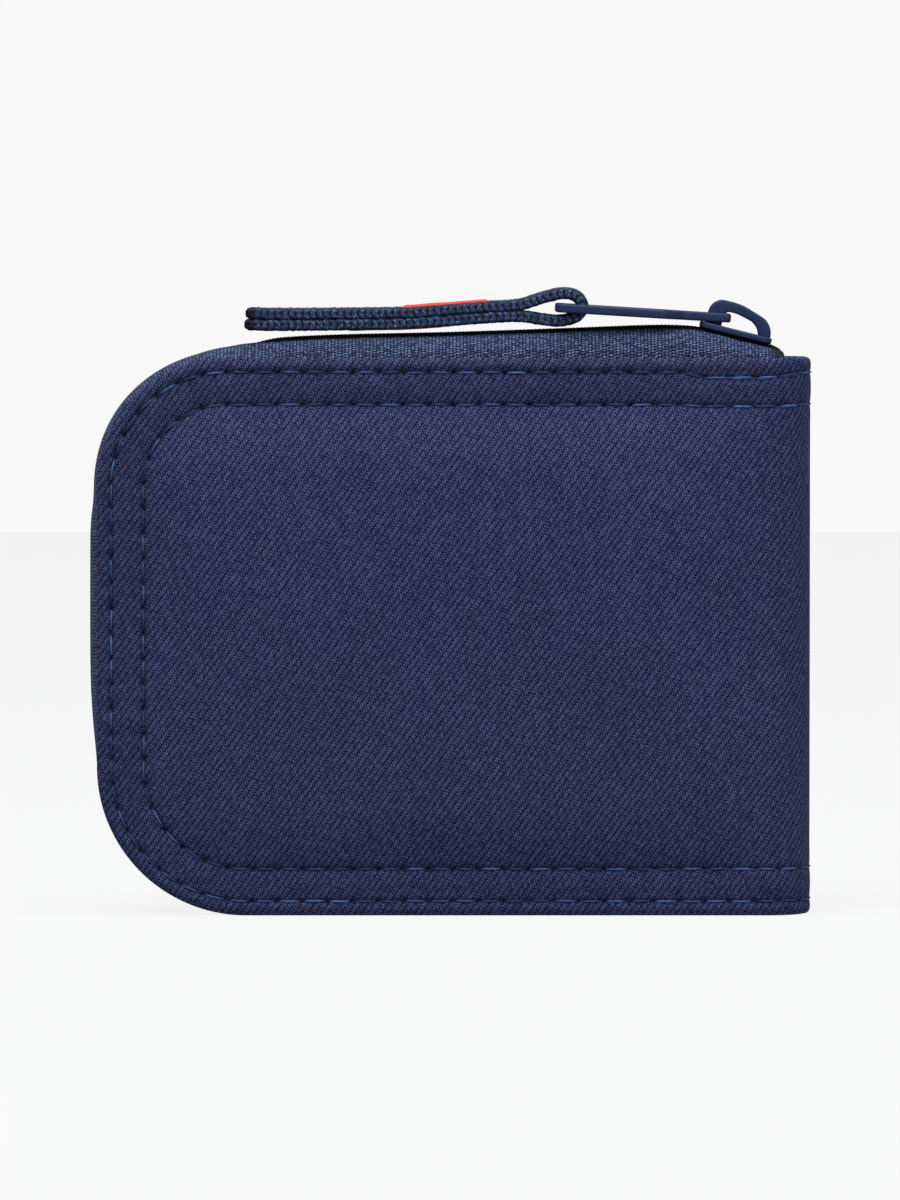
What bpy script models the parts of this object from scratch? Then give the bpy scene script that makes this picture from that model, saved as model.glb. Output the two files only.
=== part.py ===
"""Zip-around wallet: two padded covers on a soft spine, closed on three sides by a zip.

Metres, +Z up. X runs along the wallet, with the spine at +X, and the front cover is at -Y.
The origin is at the middle of the wallet's footprint, on the surface that it stands on.
A cover is made of flat layers. Each is placed by its depth, its distance from the plane
Y = 0 where the two covers meet, and by its side, -1 for the front and +1 for the back.
"""

import math

import bmesh
import bpy
from mathutils import Vector

MILLIMETRE = 0.001

# Closed wallet
HALF_LENGTH = 0.0582
HALF_DEPTH = 0.0100
COVER_HEIGHT = 0.0899
COVER_LEFT = -0.0569
COVER_RIGHT = 0.0506
TOP_CORNER_RADIUS = 0.0210
BOTTOM_CORNER_RADIUS = 0.0240
SPINE_SIDE_RADIUS = 0.0010
GAP = 0.0003
ARC_STEP_LENGTH = 0.0006
MOST_ARC_STEPS = 9
PIVOT_DRAWN_SIZE = 0.005
FRONT = -1
BACK = 1

# Cloth layers
OUTER_THICKNESS = 0.0014
CORE_THICKNESS = 0.0006
LINING_THICKNESS = 0.0005
POCKET_THICKNESS = 0.0004
TAPE_THICKNESS = 0.0005
LINING_INSET = 0.0025
CORE_INSET = 0.0090

# Spine
SPINE_START = 0.0511
SPINE_RADIUS = 0.0070
SPINE_ARC_STEPS = 6
SPINE_HINGE_X = 0.0567
SPINE_HINGE_DEPTH = 0.0085

# Zip: its crest is an arc along the top, then stands proud of the sides
TRACK_RADIUS = 0.3000
TRACK_CENTRE_X = 0.0080
TRACK_TOP = 0.0945
SIDE_PROUD = 0.0013
BOTTOM_PROUD = -0.0006
COIL_RADIUS = 0.0007
COIL_DEPTH = 0.0015
COIL_END = 0.0525
TAPE_MARGIN = 0.0080
TAPE_BEND_START = -0.0018
TAPE_EDGE_DEPTH = 0.00245
TAPE_BEND_STEPS = 5
TAPE_MARGIN_ROWS = 2
TOP_STEPS = 14
CORNER_STEPS = 9
SIDE_STEPS = 4
BOTTOM_STEPS = 5

# Slider, in its own frame: x along it towards the spine, z away from the wallet
SLIDER_X = 0.0463
SLIDER_TILT = math.radians(10.5)
SLIDER_LENGTH = 0.0119
SLIDER_WIDTH = 0.0080
SLIDER_PLATE = 0.0010
SLIDER_EDGE = 0.0002
CHANNEL_HALF = 0.00155
LOWER_PLATE_SIZE = (0.0084, 0.0060, 0.0008)
POST_SIZE = (0.0026, 0.0009, 0.0036)
POST_X = 0.0030
BAIL_RADIUS = 0.00085
BAIL_BEND = 0.0011
BAIL_BEND_STEPS = 3
BAIL_ROUNDNESS = 2
BAIL_ROUTE = ((-0.0036, 0.00285), (-0.0032, 0.0063), (0.0036, 0.0050), (0.0041, 0.00285))
PULLER_PIVOT = (-0.0010, 0.0040)

# Puller and tab
PULLER_THICKNESS = 0.0015
PIVOT_BAR_HALF = 0.0006
PIVOT_CORNER = 0.0004
BAIL_HOLE_END = -0.0056
BAIL_HOLE_HALF = 0.0016
BAIL_HOLE_CORNER = 0.0003
BAIL_HOLE_END_CORNER = 0.0006
NECK_HALF = 0.0030
NECK_END = -0.0075
PULLER_HALF_WIDTH = 0.0062
SHOULDER_CORNER = 0.0020
PULLER_CORNER = 0.0010
TAB_BAR_HALF = 0.00065
TAB_SLOT_LENGTH = 0.0046
TAB_SLOT_HALF = 0.00475
TAB_SLOT_CORNER = 0.0004
TAB_HALF_WIDTH = 0.00425
TAB_AXIS = (0.0189, 0.09795)
TAB_END = -0.0331
TAB_BOTTOM = 0.0943
TAB_TOP = 0.0979
LOOP_RIGHT = 0.0223
LOOP_BOTTOM = 0.0948
LOOP_TOP = 0.1011
EYE_LEFT = 0.0129
EYE_RIGHT = 0.0204
EYE_BOTTOM = 0.09645
EYE_TOP = 0.09945
LOOP_RADIUS = 0.0031
EYE_RADIUS = 0.00149
TAB_CORNER = 0.0004
TAB_DIP = (0.0114, 0.0956, 0.0100)
LOOP_LOW_START = (0.0162, LOOP_BOTTOM, 0.0020)
LOOP_HIGH_START = (0.0155, LOOP_TOP, 0.0040)
EYE_TIP_HALF = 0.0004
EYE_TIP_RADIUS = 0.0002
EYE_WIDEST_X = 0.0176
EYE_WIDEST_RADIUS = 0.0010
PATCH_THICKNESS = 0.0003
PATCH_RECESS = 0.00045
PATCH_CLEARANCE = 0.00015
PATCH_HALF_WIDTH = 0.0036
# Each patch's recess floor in the webbing, as (x, z) points from left to right
UPPER_FLOOR = ((-0.0083, 0.0976), (0.0069, 0.0988))
LOWER_FLOOR = ((-0.0172, 0.0948), (-0.0080, 0.0948), (-0.0001, 0.0954))

# Inside the covers
POCKET_LEFT = -0.0480
POCKET_RIGHT = 0.0460
POCKET_BOTTOM = 0.0060
SLEEVE_TOP = 0.0800
CARD_TOPS = (0.0700, 0.0600, 0.0500)
CORNER_OF_POCKET = 0.0120
COIN_DEPTH = 0.0055
COIN_PANEL_TOP = 0.0540
COIN_BAND = (0.0660, 0.0770)
COIN_ZIP_Z = 0.0600
COIN_COIL_RADIUS = 0.00075
COIN_SLIDER_X = 0.0380
COIN_SLIDER_SIZE = (0.0080, 0.0025, 0.0060)
COIN_SLIDER_EDGE = 0.0003
COIN_CHANNEL = (0.0018, 0.0023)
COIN_PULL_SIZE = (0.0042, 0.0007, 0.0180)
COIN_PULL_EDGE = 0.0002
COIN_PULL_TOP = 0.0590

# Finishes: colour, roughness, metallic
TWILL = ((0.21, 0.23, 0.36), 0.75, 0.0)
TAPE = ((0.16, 0.20, 0.35), 0.80, 0.0)
COIL = ((0.14, 0.18, 0.32), 0.45, 0.0)
CORE = ((0.80, 0.79, 0.75), 0.90, 0.0)
LINING = ((0.17, 0.18, 0.26), 0.70, 0.0)
POCKET = ((0.19, 0.21, 0.31), 0.70, 0.0)
PAINTED_METAL = ((0.15, 0.19, 0.36), 0.35, 0.6)
WEBBING = ((0.16, 0.24, 0.39), 0.85, 0.0)
RED_PATCH = ((0.84, 0.27, 0.24), 0.60, 0.0)

PARTS_COLLECTION = "zip_around_wallet"
CUTTERS_COLLECTION = "cutters"


def linear(red, green, blue):
    """The linear colour of an sRGB one, each channel from 0 to 1."""
    return tuple(((c + 0.055) / 1.055) ** 2.4 if c > 0.04045 else c / 12.92 for c in (red, green, blue))


def make_material(name, colour, roughness, metallic=0.0):
    material = bpy.data.materials.new(name)
    material.use_nodes = True
    shader = material.node_tree.nodes["Principled BSDF"]
    shader.inputs["Base Color"].default_value = (*linear(*colour), 1.0)
    shader.inputs["Roughness"].default_value = roughness
    shader.inputs["Metallic"].default_value = metallic
    return material


def clear_scene():
    for obj in list(bpy.data.objects):
        bpy.data.objects.remove(obj, do_unlink=True)


def make_collection(name):
    collection = bpy.data.collections.new(name)
    bpy.context.scene.collection.children.link(collection)
    return collection


def link_part(name, data, finish, parent=None):
    """A new object in the wallet's collection, with its own material."""
    obj = bpy.data.objects.new(name, data)
    bpy.data.collections[PARTS_COLLECTION].objects.link(obj)
    colour, roughness, metallic = finish
    data.materials.append(make_material(name, colour, roughness, metallic))
    if parent:
        attach(obj, parent)
    return obj


def attach(obj, parent):
    """Parents obj without moving it."""
    bpy.context.view_layer.update()
    obj.parent = parent
    obj.matrix_parent_inverse = parent.matrix_world.inverted()


def add_pivot(name, location, parent=None, tilt=0.0):
    """An empty on a joint's axis, or at the origin of a tilted piece's own frame."""
    pivot = bpy.data.objects.new(name, None)
    pivot.empty_display_size = PIVOT_DRAWN_SIZE
    pivot.location = location
    pivot.rotation_euler = (0.0, tilt, 0.0)
    bpy.data.collections[PARTS_COLLECTION].objects.link(pivot)
    if parent:
        attach(pivot, parent)
    bpy.context.view_layer.update()
    return pivot


def rounded_outline(corners):
    """Points around a polygon given as (x, y, radius) corners, with an arc at each radius."""
    points = []
    for index, (x, y, radius) in enumerate(corners):
        corner = Vector((x, y))
        if radius == 0.0:
            points.append(corner)
            continue
        back = (Vector(corners[index - 1][:2]) - corner).normalized()
        ahead = (Vector(corners[(index + 1) % len(corners)][:2]) - corner).normalized()
        half_angle = back.angle(ahead) / 2
        centre = corner + (back + ahead).normalized() * radius / math.sin(half_angle)
        reach = radius / math.tan(half_angle)
        start = (corner + back * reach - centre).normalized()
        end = (corner + ahead * reach - centre).normalized()
        steps = round(radius * start.angle(end) / ARC_STEP_LENGTH)
        steps = min(max(steps, 1), MOST_ARC_STEPS)
        points += [centre + start.slerp(end, step / steps) * radius for step in range(steps + 1)]
    return points


def outline_plate(name, outlines, thickness, finish):
    """A filled 2D curve in its own XY plane; outlines after the first are holes.

    It is drawn in millimetres and scaled down, because a fill joins points that are very near.
    """
    curve = bpy.data.curves.new(name, "CURVE")
    curve.dimensions = "2D"
    curve.fill_mode = "BOTH"
    curve.extrude = thickness / 2 / MILLIMETRE
    for outline in outlines:
        spline = curve.splines.new("POLY")
        spline.points.add(len(outline) - 1)
        spline.use_cyclic_u = True
        for point, (x, y) in zip(spline.points, outline):
            point.co = (x / MILLIMETRE, y / MILLIMETRE, 0.0, 1.0)
    plate = link_part(name, curve, finish)
    plate.scale = (MILLIMETRE, MILLIMETRE, MILLIMETRE)
    return plate


def upright_plate(name, outlines, depth, thickness, finish, parent=None):
    """A flat plate parallel to the XZ plane, with its middle at Y = depth."""
    plate = outline_plate(name, outlines, thickness, finish)
    plate.rotation_euler = (math.pi / 2, 0.0, 0.0)
    plate.location = (0.0, depth, 0.0)
    if parent:
        attach(plate, parent)
    return plate


def bent_sheet(name, columns, rows, place, thickness, finish, parent=None):
    """A grid whose vertex (column, row) goes to place(column, row), made solid."""
    mesh = bpy.data.meshes.new(name)
    sheet = bmesh.new()
    bmesh.ops.create_grid(sheet, x_segments=columns, y_segments=rows, size=0.5)
    for vertex in sheet.verts:
        column = round((vertex.co.x + 0.5) * columns)
        row = round((vertex.co.y + 0.5) * rows)
        vertex.co = place(column, row)
    sheet.to_mesh(mesh)
    sheet.free()
    obj = link_part(name, mesh, finish, parent)
    solid = obj.modifiers.new("thickness", "SOLIDIFY")
    solid.thickness = thickness
    solid.offset = 0.0
    solid.use_even_offset = True
    return obj


def round_bar(name, points, radius, finish, parent=None):
    """A round bar along points, with closed ends."""
    curve = bpy.data.curves.new(name, "CURVE")
    curve.dimensions = "3D"
    curve.bevel_depth = radius
    curve.bevel_resolution = 1
    curve.use_fill_caps = True
    spline = curve.splines.new("POLY")
    spline.points.add(len(points) - 1)
    for point, place in zip(spline.points, points):
        point.co = (*place, 1.0)
    return link_part(name, curve, finish, parent)


def box_mesh(name, size, edge=0.0):
    """A box centred on its origin, with its edges cut back by edge."""
    mesh = bpy.data.meshes.new(name)
    box = bmesh.new()
    bmesh.ops.create_cube(box, size=1.0)
    bmesh.ops.scale(box, vec=Vector(size), verts=box.verts)
    if edge:
        bmesh.ops.bevel(box, geom=box.edges[:], offset=edge, segments=1, affect="EDGES")
    box.to_mesh(mesh)
    box.free()
    return mesh


def put_in_frame(obj, frame, place):
    """Places obj at a point of the frame's own axes."""
    obj.parent = frame
    obj.location = place


def add_cutter(name, size, place, frame=None):
    """A hidden box for a Boolean."""
    cutter = bpy.data.objects.new(name, box_mesh(name, size))
    bpy.data.collections[CUTTERS_COLLECTION].objects.link(cutter)
    cutter.hide_render = True
    cutter.display_type = "WIRE"
    cutter.parent = frame
    cutter.location = place
    return cutter


def add_boolean(obj, cutter, operation):
    boolean = obj.modifiers.new(cutter.name, "BOOLEAN")
    boolean.operation = operation
    boolean.object = cutter
    boolean.solver = "EXACT"


def cover_outline(inset, right=COVER_RIGHT, top=COVER_HEIGHT):
    """A cover's outline, moved inwards by inset on its free sides."""
    left = COVER_LEFT + inset
    return rounded_outline(
        [
            (right, inset, SPINE_SIDE_RADIUS),
            (right, top - inset, SPINE_SIDE_RADIUS),
            (left, top - inset, TOP_CORNER_RADIUS - inset),
            (left, inset, BOTTOM_CORNER_RADIUS - inset),
        ]
    )


def pocket_outline(bottom, top):
    """A pocket panel: square at its open top edge, rounded like the cover below."""
    return rounded_outline(
        [
            (POCKET_RIGHT, bottom, SPINE_SIDE_RADIUS),
            (POCKET_RIGHT, top, SPINE_SIDE_RADIUS),
            (POCKET_LEFT, top, SPINE_SIDE_RADIUS),
            (POCKET_LEFT, bottom, CORNER_OF_POCKET),
        ]
    )


def layer_depths():
    """The depth of the middle of each cover layer, from the outside in."""
    outer = HALF_DEPTH - OUTER_THICKNESS / 2
    core = HALF_DEPTH - OUTER_THICKNESS - GAP - CORE_THICKNESS / 2
    lining = core - CORE_THICKNESS / 2 - GAP - LINING_THICKNESS / 2
    sleeve = lining - LINING_THICKNESS / 2 - GAP - POCKET_THICKNESS / 2
    return outer, core, lining, sleeve


def build_cover(name, side, parent):
    """The layers that both covers have."""
    outer, core, lining, sleeve = layer_depths()
    board = cover_outline(CORE_INSET, COVER_RIGHT - GAP)
    pocket = pocket_outline(POCKET_BOTTOM, SLEEVE_TOP)
    layers = (
        ("outer_panel", cover_outline(0.0), outer, OUTER_THICKNESS, TWILL),
        ("stiffener_board", board, core, CORE_THICKNESS, CORE),
        ("lining", cover_outline(LINING_INSET), lining, LINING_THICKNESS, LINING),
        ("note_sleeve", pocket, sleeve, POCKET_THICKNESS, POCKET),
    )
    for layer, outline, depth, thickness, finish in layers:
        upright_plate(f"{name}_{layer}", [outline], side * depth, thickness, finish, parent)


def build_card_pockets(parent):
    """Card pockets stacked on the front cover's sleeve, each lower than the one behind."""
    depth = layer_depths()[-1]
    for number, top in enumerate(CARD_TOPS, start=1):
        depth -= POCKET_THICKNESS + GAP
        outline = pocket_outline(POCKET_BOTTOM + number * GAP, top)
        upright_plate(f"card_pocket_{number}", [outline], FRONT * depth, POCKET_THICKNESS, POCKET, parent)


def track_crest(x):
    """Height of the zip's crest along the top."""
    across = x - TRACK_CENTRE_X
    return TRACK_TOP - TRACK_RADIUS + math.sqrt(TRACK_RADIUS**2 - across**2)


def track_slope(x):
    """How fast the crest falls for each metre towards the free edge."""
    across = x - TRACK_CENTRE_X
    return across / math.sqrt(TRACK_RADIUS**2 - across**2)


def eased(start, start_slope, end, part):
    """A cubic from start to end that leaves with start_slope and arrives level."""
    rise = part * part * (3 - 2 * part)
    lead = part * (1 - part) ** 2
    return start + (end - start) * rise + start_slope * lead


def zip_stations(right_end):
    """Points along the cover's edge: (edge point, outward direction, how proud the crest is)."""
    top_left = Vector((COVER_LEFT + TOP_CORNER_RADIUS, COVER_HEIGHT - TOP_CORNER_RADIUS))
    bottom_left = Vector((COVER_LEFT + BOTTOM_CORNER_RADIUS, BOTTOM_CORNER_RADIUS))
    stations = []
    for step in range(TOP_STEPS):
        x = right_end + (top_left.x - right_end) * step / TOP_STEPS
        stations.append((Vector((x, COVER_HEIGHT)), Vector((0.0, 1.0)), track_crest(x) - COVER_HEIGHT))
    corner_length = TOP_CORNER_RADIUS * math.pi / 2
    corner_start = track_crest(top_left.x) - COVER_HEIGHT
    for step in range(CORNER_STEPS + 1):
        part = step / CORNER_STEPS
        angle = math.pi / 2 * (1 + part)
        outward = Vector((math.cos(angle), math.sin(angle)))
        proud = eased(corner_start, track_slope(top_left.x) * corner_length, SIDE_PROUD, part)
        stations.append((top_left + outward * TOP_CORNER_RADIUS, outward, proud))
    for step in range(1, SIDE_STEPS):
        z = top_left.y + (bottom_left.y - top_left.y) * step / SIDE_STEPS
        stations.append((Vector((COVER_LEFT, z)), Vector((-1.0, 0.0)), SIDE_PROUD))
    for step in range(CORNER_STEPS + 1):
        part = step / CORNER_STEPS
        angle = math.pi * (1 + part / 2)
        outward = Vector((math.cos(angle), math.sin(angle)))
        proud = eased(SIDE_PROUD, 0.0, BOTTOM_PROUD, part)
        stations.append((bottom_left + outward * BOTTOM_CORNER_RADIUS, outward, proud))
    for step in range(1, BOTTOM_STEPS + 1):
        x = bottom_left.x + (COVER_RIGHT - bottom_left.x) * step / BOTTOM_STEPS
        stations.append((Vector((x, 0.0)), Vector((0.0, -1.0)), BOTTOM_PROUD))
    return stations


def build_zip_half(name, side, parent):
    """One cover's tape, sewn in behind the outer panel and arching to the middle, and its coil."""
    stations = zip_stations(COVER_RIGHT)
    core_depth = layer_depths()[1]

    def place(column, row):
        edge, outward, proud = stations[column]
        rise = proud - COIL_RADIUS - TAPE_BEND_START
        if row <= TAPE_MARGIN_ROWS:
            depth = core_depth
            height = -TAPE_MARGIN + (TAPE_BEND_START + TAPE_MARGIN) * row / TAPE_MARGIN_ROWS
        else:
            turn = math.pi / 2 * (row - TAPE_MARGIN_ROWS) / TAPE_BEND_STEPS
            depth = TAPE_EDGE_DEPTH + (core_depth - TAPE_EDGE_DEPTH) * math.cos(turn)
            height = TAPE_BEND_START + rise * math.sin(turn)
        point = edge + outward * height
        return (point.x, side * depth, point.y)

    rows = TAPE_MARGIN_ROWS + TAPE_BEND_STEPS
    columns = len(stations) - 1
    bent_sheet(f"{name}_zip_tape", columns, rows, place, TAPE_THICKNESS, TAPE, parent)
    coil = []
    for edge, outward, proud in zip_stations(COIL_END):
        point = edge + outward * (proud - COIL_RADIUS)
        coil.append((point.x, side * COIL_DEPTH, point.y))
    round_bar(f"{name}_zip_coil", coil, COIL_RADIUS, COIL, parent)


def spine_profile(inset):
    """Half of the spine's U, from its front seam to the middle, moved inwards by inset."""
    radius = SPINE_RADIUS - inset
    centre = Vector((HALF_LENGTH - SPINE_RADIUS, HALF_DEPTH - SPINE_RADIUS))
    half = [(SPINE_START, -(HALF_DEPTH - inset))]
    for step in range(1, SPINE_ARC_STEPS + 1):
        angle = math.pi / 2 * (1 - step / SPINE_ARC_STEPS)
        half.append((centre.x + radius * math.cos(angle), -(centre.y + radius * math.sin(angle))))
    return half


def build_spine_layer(name, inset, thickness, trim, finish, parent):
    """One layer of the soft spine, a U around the wallet's closed side."""
    half = spine_profile(inset + thickness / 2)
    profile = half + [(x, -y) for x, y in reversed(half)]

    def place(column, row):
        x, y = profile[column]
        return (x, y, COVER_HEIGHT - trim if row else trim)

    bent_sheet(name, len(profile) - 1, 1, place, thickness, finish, parent)


def build_spine(parent):
    build_spine_layer("spine_outer_strip", 0.0, OUTER_THICKNESS, 0.0, TWILL, parent)
    build_spine_layer(
        "spine_lining_strip", OUTER_THICKNESS + GAP, LINING_THICKNESS, LINING_INSET, LINING, parent
    )


def build_slider(frame):
    """The zip slider: upper plate, wedge post and lower plate in one casting, and its bail."""
    plate = box_mesh("zip_slider_body", (SLIDER_LENGTH, SLIDER_WIDTH, SLIDER_PLATE), SLIDER_EDGE)
    upper = link_part("zip_slider_body", plate, PAINTED_METAL)
    put_in_frame(upper, frame, (0.0, 0.0, CHANNEL_HALF + SLIDER_PLATE / 2))
    middle = -CHANNEL_HALF - SLIDER_PLATE / 2
    lower_place = (0.0, 0.0, middle - CHANNEL_HALF - LOWER_PLATE_SIZE[2] / 2)
    lower = add_cutter("slider_lower_plate", LOWER_PLATE_SIZE, lower_place, upper)
    post = add_cutter("slider_post", POST_SIZE, (POST_X, 0.0, middle), upper)
    add_boolean(upper, post, "UNION")
    add_boolean(upper, lower, "UNION")


def bail_points():
    """The bail's route in the slider's frame, its two upper bends rounded."""
    route = [Vector(point) for point in BAIL_ROUTE]
    points = [route[0]]
    for before, corner, after in zip(route, route[1:], route[2:]):
        start = corner + (before - corner).normalized() * BAIL_BEND
        end = corner + (after - corner).normalized() * BAIL_BEND
        for step in range(BAIL_BEND_STEPS + 1):
            part = step / BAIL_BEND_STEPS
            points.append(start * (1 - part) ** 2 + corner * 2 * part * (1 - part) + end * part**2)
    points.append(route[-1])
    return [(point.x, 0.0, point.y) for point in points]


def build_bail(frame):
    bail = round_bar("slider_bail", bail_points(), BAIL_RADIUS, PAINTED_METAL)
    bail.data.bevel_resolution = BAIL_ROUNDNESS
    put_in_frame(bail, frame, (0.0, 0.0, 0.0))


def slider_frame_origin():
    """The middle of the slider's channel, on the line along the coil's middle."""
    return Vector((SLIDER_X, 0.0, track_crest(SLIDER_X) - COIL_RADIUS))


def puller_pivot_point():
    """The puller's pivot inside the bail, in world axes."""
    along, up = PULLER_PIVOT
    cosine = math.cos(SLIDER_TILT)
    sine = math.sin(SLIDER_TILT)
    offset = Vector((along * cosine + up * sine, 0.0, up * cosine - along * sine))
    return slider_frame_origin() + offset


def build_puller(frame, length):
    """A flat link: a small hole for the bail at one end and a slot for the webbing at the other."""
    left = -length - TAB_BAR_HALF
    slot_left = -length + TAB_BAR_HALF
    slot_right = slot_left + TAB_SLOT_LENGTH
    shoulder = NECK_END - (PULLER_HALF_WIDTH - NECK_HALF)
    outer = rounded_outline(
        [
            (PIVOT_BAR_HALF, -NECK_HALF, PIVOT_CORNER),
            (PIVOT_BAR_HALF, NECK_HALF, PIVOT_CORNER),
            (NECK_END, NECK_HALF, SHOULDER_CORNER),
            (shoulder, PULLER_HALF_WIDTH, SHOULDER_CORNER),
            (left, PULLER_HALF_WIDTH, PULLER_CORNER),
            (left, -PULLER_HALF_WIDTH, PULLER_CORNER),
            (shoulder, -PULLER_HALF_WIDTH, SHOULDER_CORNER),
            (NECK_END, -NECK_HALF, SHOULDER_CORNER),
        ]
    )
    bail_hole = rounded_outline(
        [
            (-PIVOT_BAR_HALF, BAIL_HOLE_HALF, BAIL_HOLE_CORNER),
            (-PIVOT_BAR_HALF, -BAIL_HOLE_HALF, BAIL_HOLE_CORNER),
            (BAIL_HOLE_END, -BAIL_HOLE_HALF, BAIL_HOLE_END_CORNER),
            (BAIL_HOLE_END, BAIL_HOLE_HALF, BAIL_HOLE_END_CORNER),
        ]
    )
    slot = rounded_outline(
        [
            (slot_right, TAB_SLOT_HALF, TAB_SLOT_CORNER),
            (slot_right, -TAB_SLOT_HALF, TAB_SLOT_CORNER),
            (slot_left, -TAB_SLOT_HALF, TAB_SLOT_CORNER),
            (slot_left, TAB_SLOT_HALF, TAB_SLOT_CORNER),
        ]
    )
    puller = outline_plate("puller", [outer, bail_hole, slot], PULLER_THICKNESS, PAINTED_METAL)
    put_in_frame(puller, frame, (0.0, 0.0, 0.0))


def build_tab(parent):
    """Webbing folded in two around the puller's bar, with its cut ends at the left."""
    lower_ends = [(LOWER_FLOOR[0][0], TAB_BOTTOM), (LOWER_FLOOR[-1][0], LOWER_FLOOR[-1][1] - PATCH_RECESS)]
    upper_ends = [(UPPER_FLOOR[-1][0], UPPER_FLOOR[-1][1] + PATCH_RECESS), (UPPER_FLOOR[0][0], TAB_TOP)]
    outer = rounded_outline(
        [
            (TAB_END, TAB_BOTTOM, TAB_CORNER),
            (*lower_ends[0], 0.0),
            *((x, z, 0.0) for x, z in LOWER_FLOOR),
            (*lower_ends[1], 0.0),
            TAB_DIP,
            LOOP_LOW_START,
            (LOOP_RIGHT, LOOP_BOTTOM, LOOP_RADIUS),
            (LOOP_RIGHT, LOOP_TOP, LOOP_RADIUS),
            LOOP_HIGH_START,
            (*upper_ends[0], 0.0),
            *((x, z, 0.0) for x, z in reversed(UPPER_FLOOR)),
            (*upper_ends[1], 0.0),
            (TAB_END, TAB_TOP, TAB_CORNER),
        ]
    )
    eye_middle = (EYE_BOTTOM + EYE_TOP) / 2
    eye = rounded_outline(
        [
            (EYE_LEFT, eye_middle - EYE_TIP_HALF, EYE_TIP_RADIUS),
            (EYE_WIDEST_X, EYE_BOTTOM, EYE_WIDEST_RADIUS),
            (EYE_RIGHT, EYE_BOTTOM, EYE_RADIUS),
            (EYE_RIGHT, EYE_TOP, EYE_RADIUS),
            (EYE_WIDEST_X, EYE_TOP, EYE_WIDEST_RADIUS),
        ]
    )
    upright_plate("pull_tab_webbing", [outer, eye], 0.0, 2 * TAB_HALF_WIDTH, WEBBING, parent)


def patch_outline(floor, away):
    """A thin patch lying over a recess floor; away is +1 above the floor and -1 below it."""
    inner = [Vector(point) for point in floor]
    inner[0].x += PATCH_CLEARANCE
    inner[-1].x -= PATCH_CLEARANCE
    near = [Vector((point.x, point.y + away * PATCH_CLEARANCE)) for point in inner]
    far = [Vector((point.x, point.y + away * PATCH_THICKNESS)) for point in near]
    return near + far[::-1]


def build_patches(parent):
    """Plain red patches let into the webbing's two faces."""
    width = 2 * PATCH_HALF_WIDTH
    upright_plate("tab_patch_upper", [patch_outline(UPPER_FLOOR, 1)], 0.0, width, RED_PATCH, parent)
    upright_plate("tab_patch_lower", [patch_outline(LOWER_FLOOR, -1)], 0.0, width, RED_PATCH, parent)


def build_coin_pocket():
    """A flat zipped pocket on the back cover's sleeve, with its tape and coil."""
    upright_plate(
        "coin_pocket_panel",
        [pocket_outline(POCKET_BOTTOM, COIN_PANEL_TOP)],
        COIN_DEPTH,
        POCKET_THICKNESS,
        POCKET,
    )
    band = rounded_outline(
        [
            (POCKET_RIGHT, COIN_BAND[0], SPINE_SIDE_RADIUS),
            (POCKET_RIGHT, COIN_BAND[1], SPINE_SIDE_RADIUS),
            (POCKET_LEFT, COIN_BAND[1], SPINE_SIDE_RADIUS),
            (POCKET_LEFT, COIN_BAND[0], SPINE_SIDE_RADIUS),
        ]
    )
    upright_plate("coin_pocket_top_band", [band], COIN_DEPTH, POCKET_THICKNESS, POCKET)
    tape = rounded_outline(
        [
            (POCKET_RIGHT, COIN_PANEL_TOP + GAP, 0.0),
            (POCKET_RIGHT, COIN_BAND[0] - GAP, 0.0),
            (POCKET_LEFT, COIN_BAND[0] - GAP, 0.0),
            (POCKET_LEFT, COIN_PANEL_TOP + GAP, 0.0),
        ]
    )
    upright_plate("coin_zip_tape", [tape], COIN_DEPTH, POCKET_THICKNESS, TAPE)
    coil_depth = COIN_DEPTH - POCKET_THICKNESS / 2 - GAP - COIN_COIL_RADIUS
    ends = (POCKET_LEFT + GAP, POCKET_RIGHT - GAP)
    round_bar("coin_zip_coil", [(x, coil_depth, COIN_ZIP_Z) for x in ends], COIN_COIL_RADIUS, COIL)
    return coil_depth


def build_coin_slider(coil_depth, frame):
    """A small slider that straddles the coin pocket's coil, and its flat pull."""
    length, depth, height = COIN_SLIDER_SIZE
    top_of_tape = COIN_DEPTH - POCKET_THICKNESS / 2
    middle = top_of_tape - GAP - depth / 2
    block = box_mesh("coin_zip_slider", COIN_SLIDER_SIZE, COIN_SLIDER_EDGE)
    body = link_part("coin_zip_slider", block, PAINTED_METAL)
    put_in_frame(body, frame, (0.0, middle, 0.0))
    channel_depth, channel_height = COIN_CHANNEL
    channel_place = (0.0, depth / 2 - channel_depth / 2 + GAP, 0.0)
    channel = add_cutter(
        "coin_slider_channel", (2 * length, channel_depth + 2 * GAP, channel_height), channel_place, body
    )
    add_boolean(body, channel, "DIFFERENCE")
    flat_pull = box_mesh("coin_zip_pull", COIN_PULL_SIZE, COIN_PULL_EDGE)
    pull = link_part("coin_zip_pull", flat_pull, PAINTED_METAL)
    pull_depth = middle - depth / 2 - GAP - COIN_PULL_SIZE[1] / 2
    pull_height = COIN_PULL_TOP - COIN_PULL_SIZE[2] / 2 - COIN_ZIP_Z
    put_in_frame(pull, frame, (0.0, pull_depth, pull_height))


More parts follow.
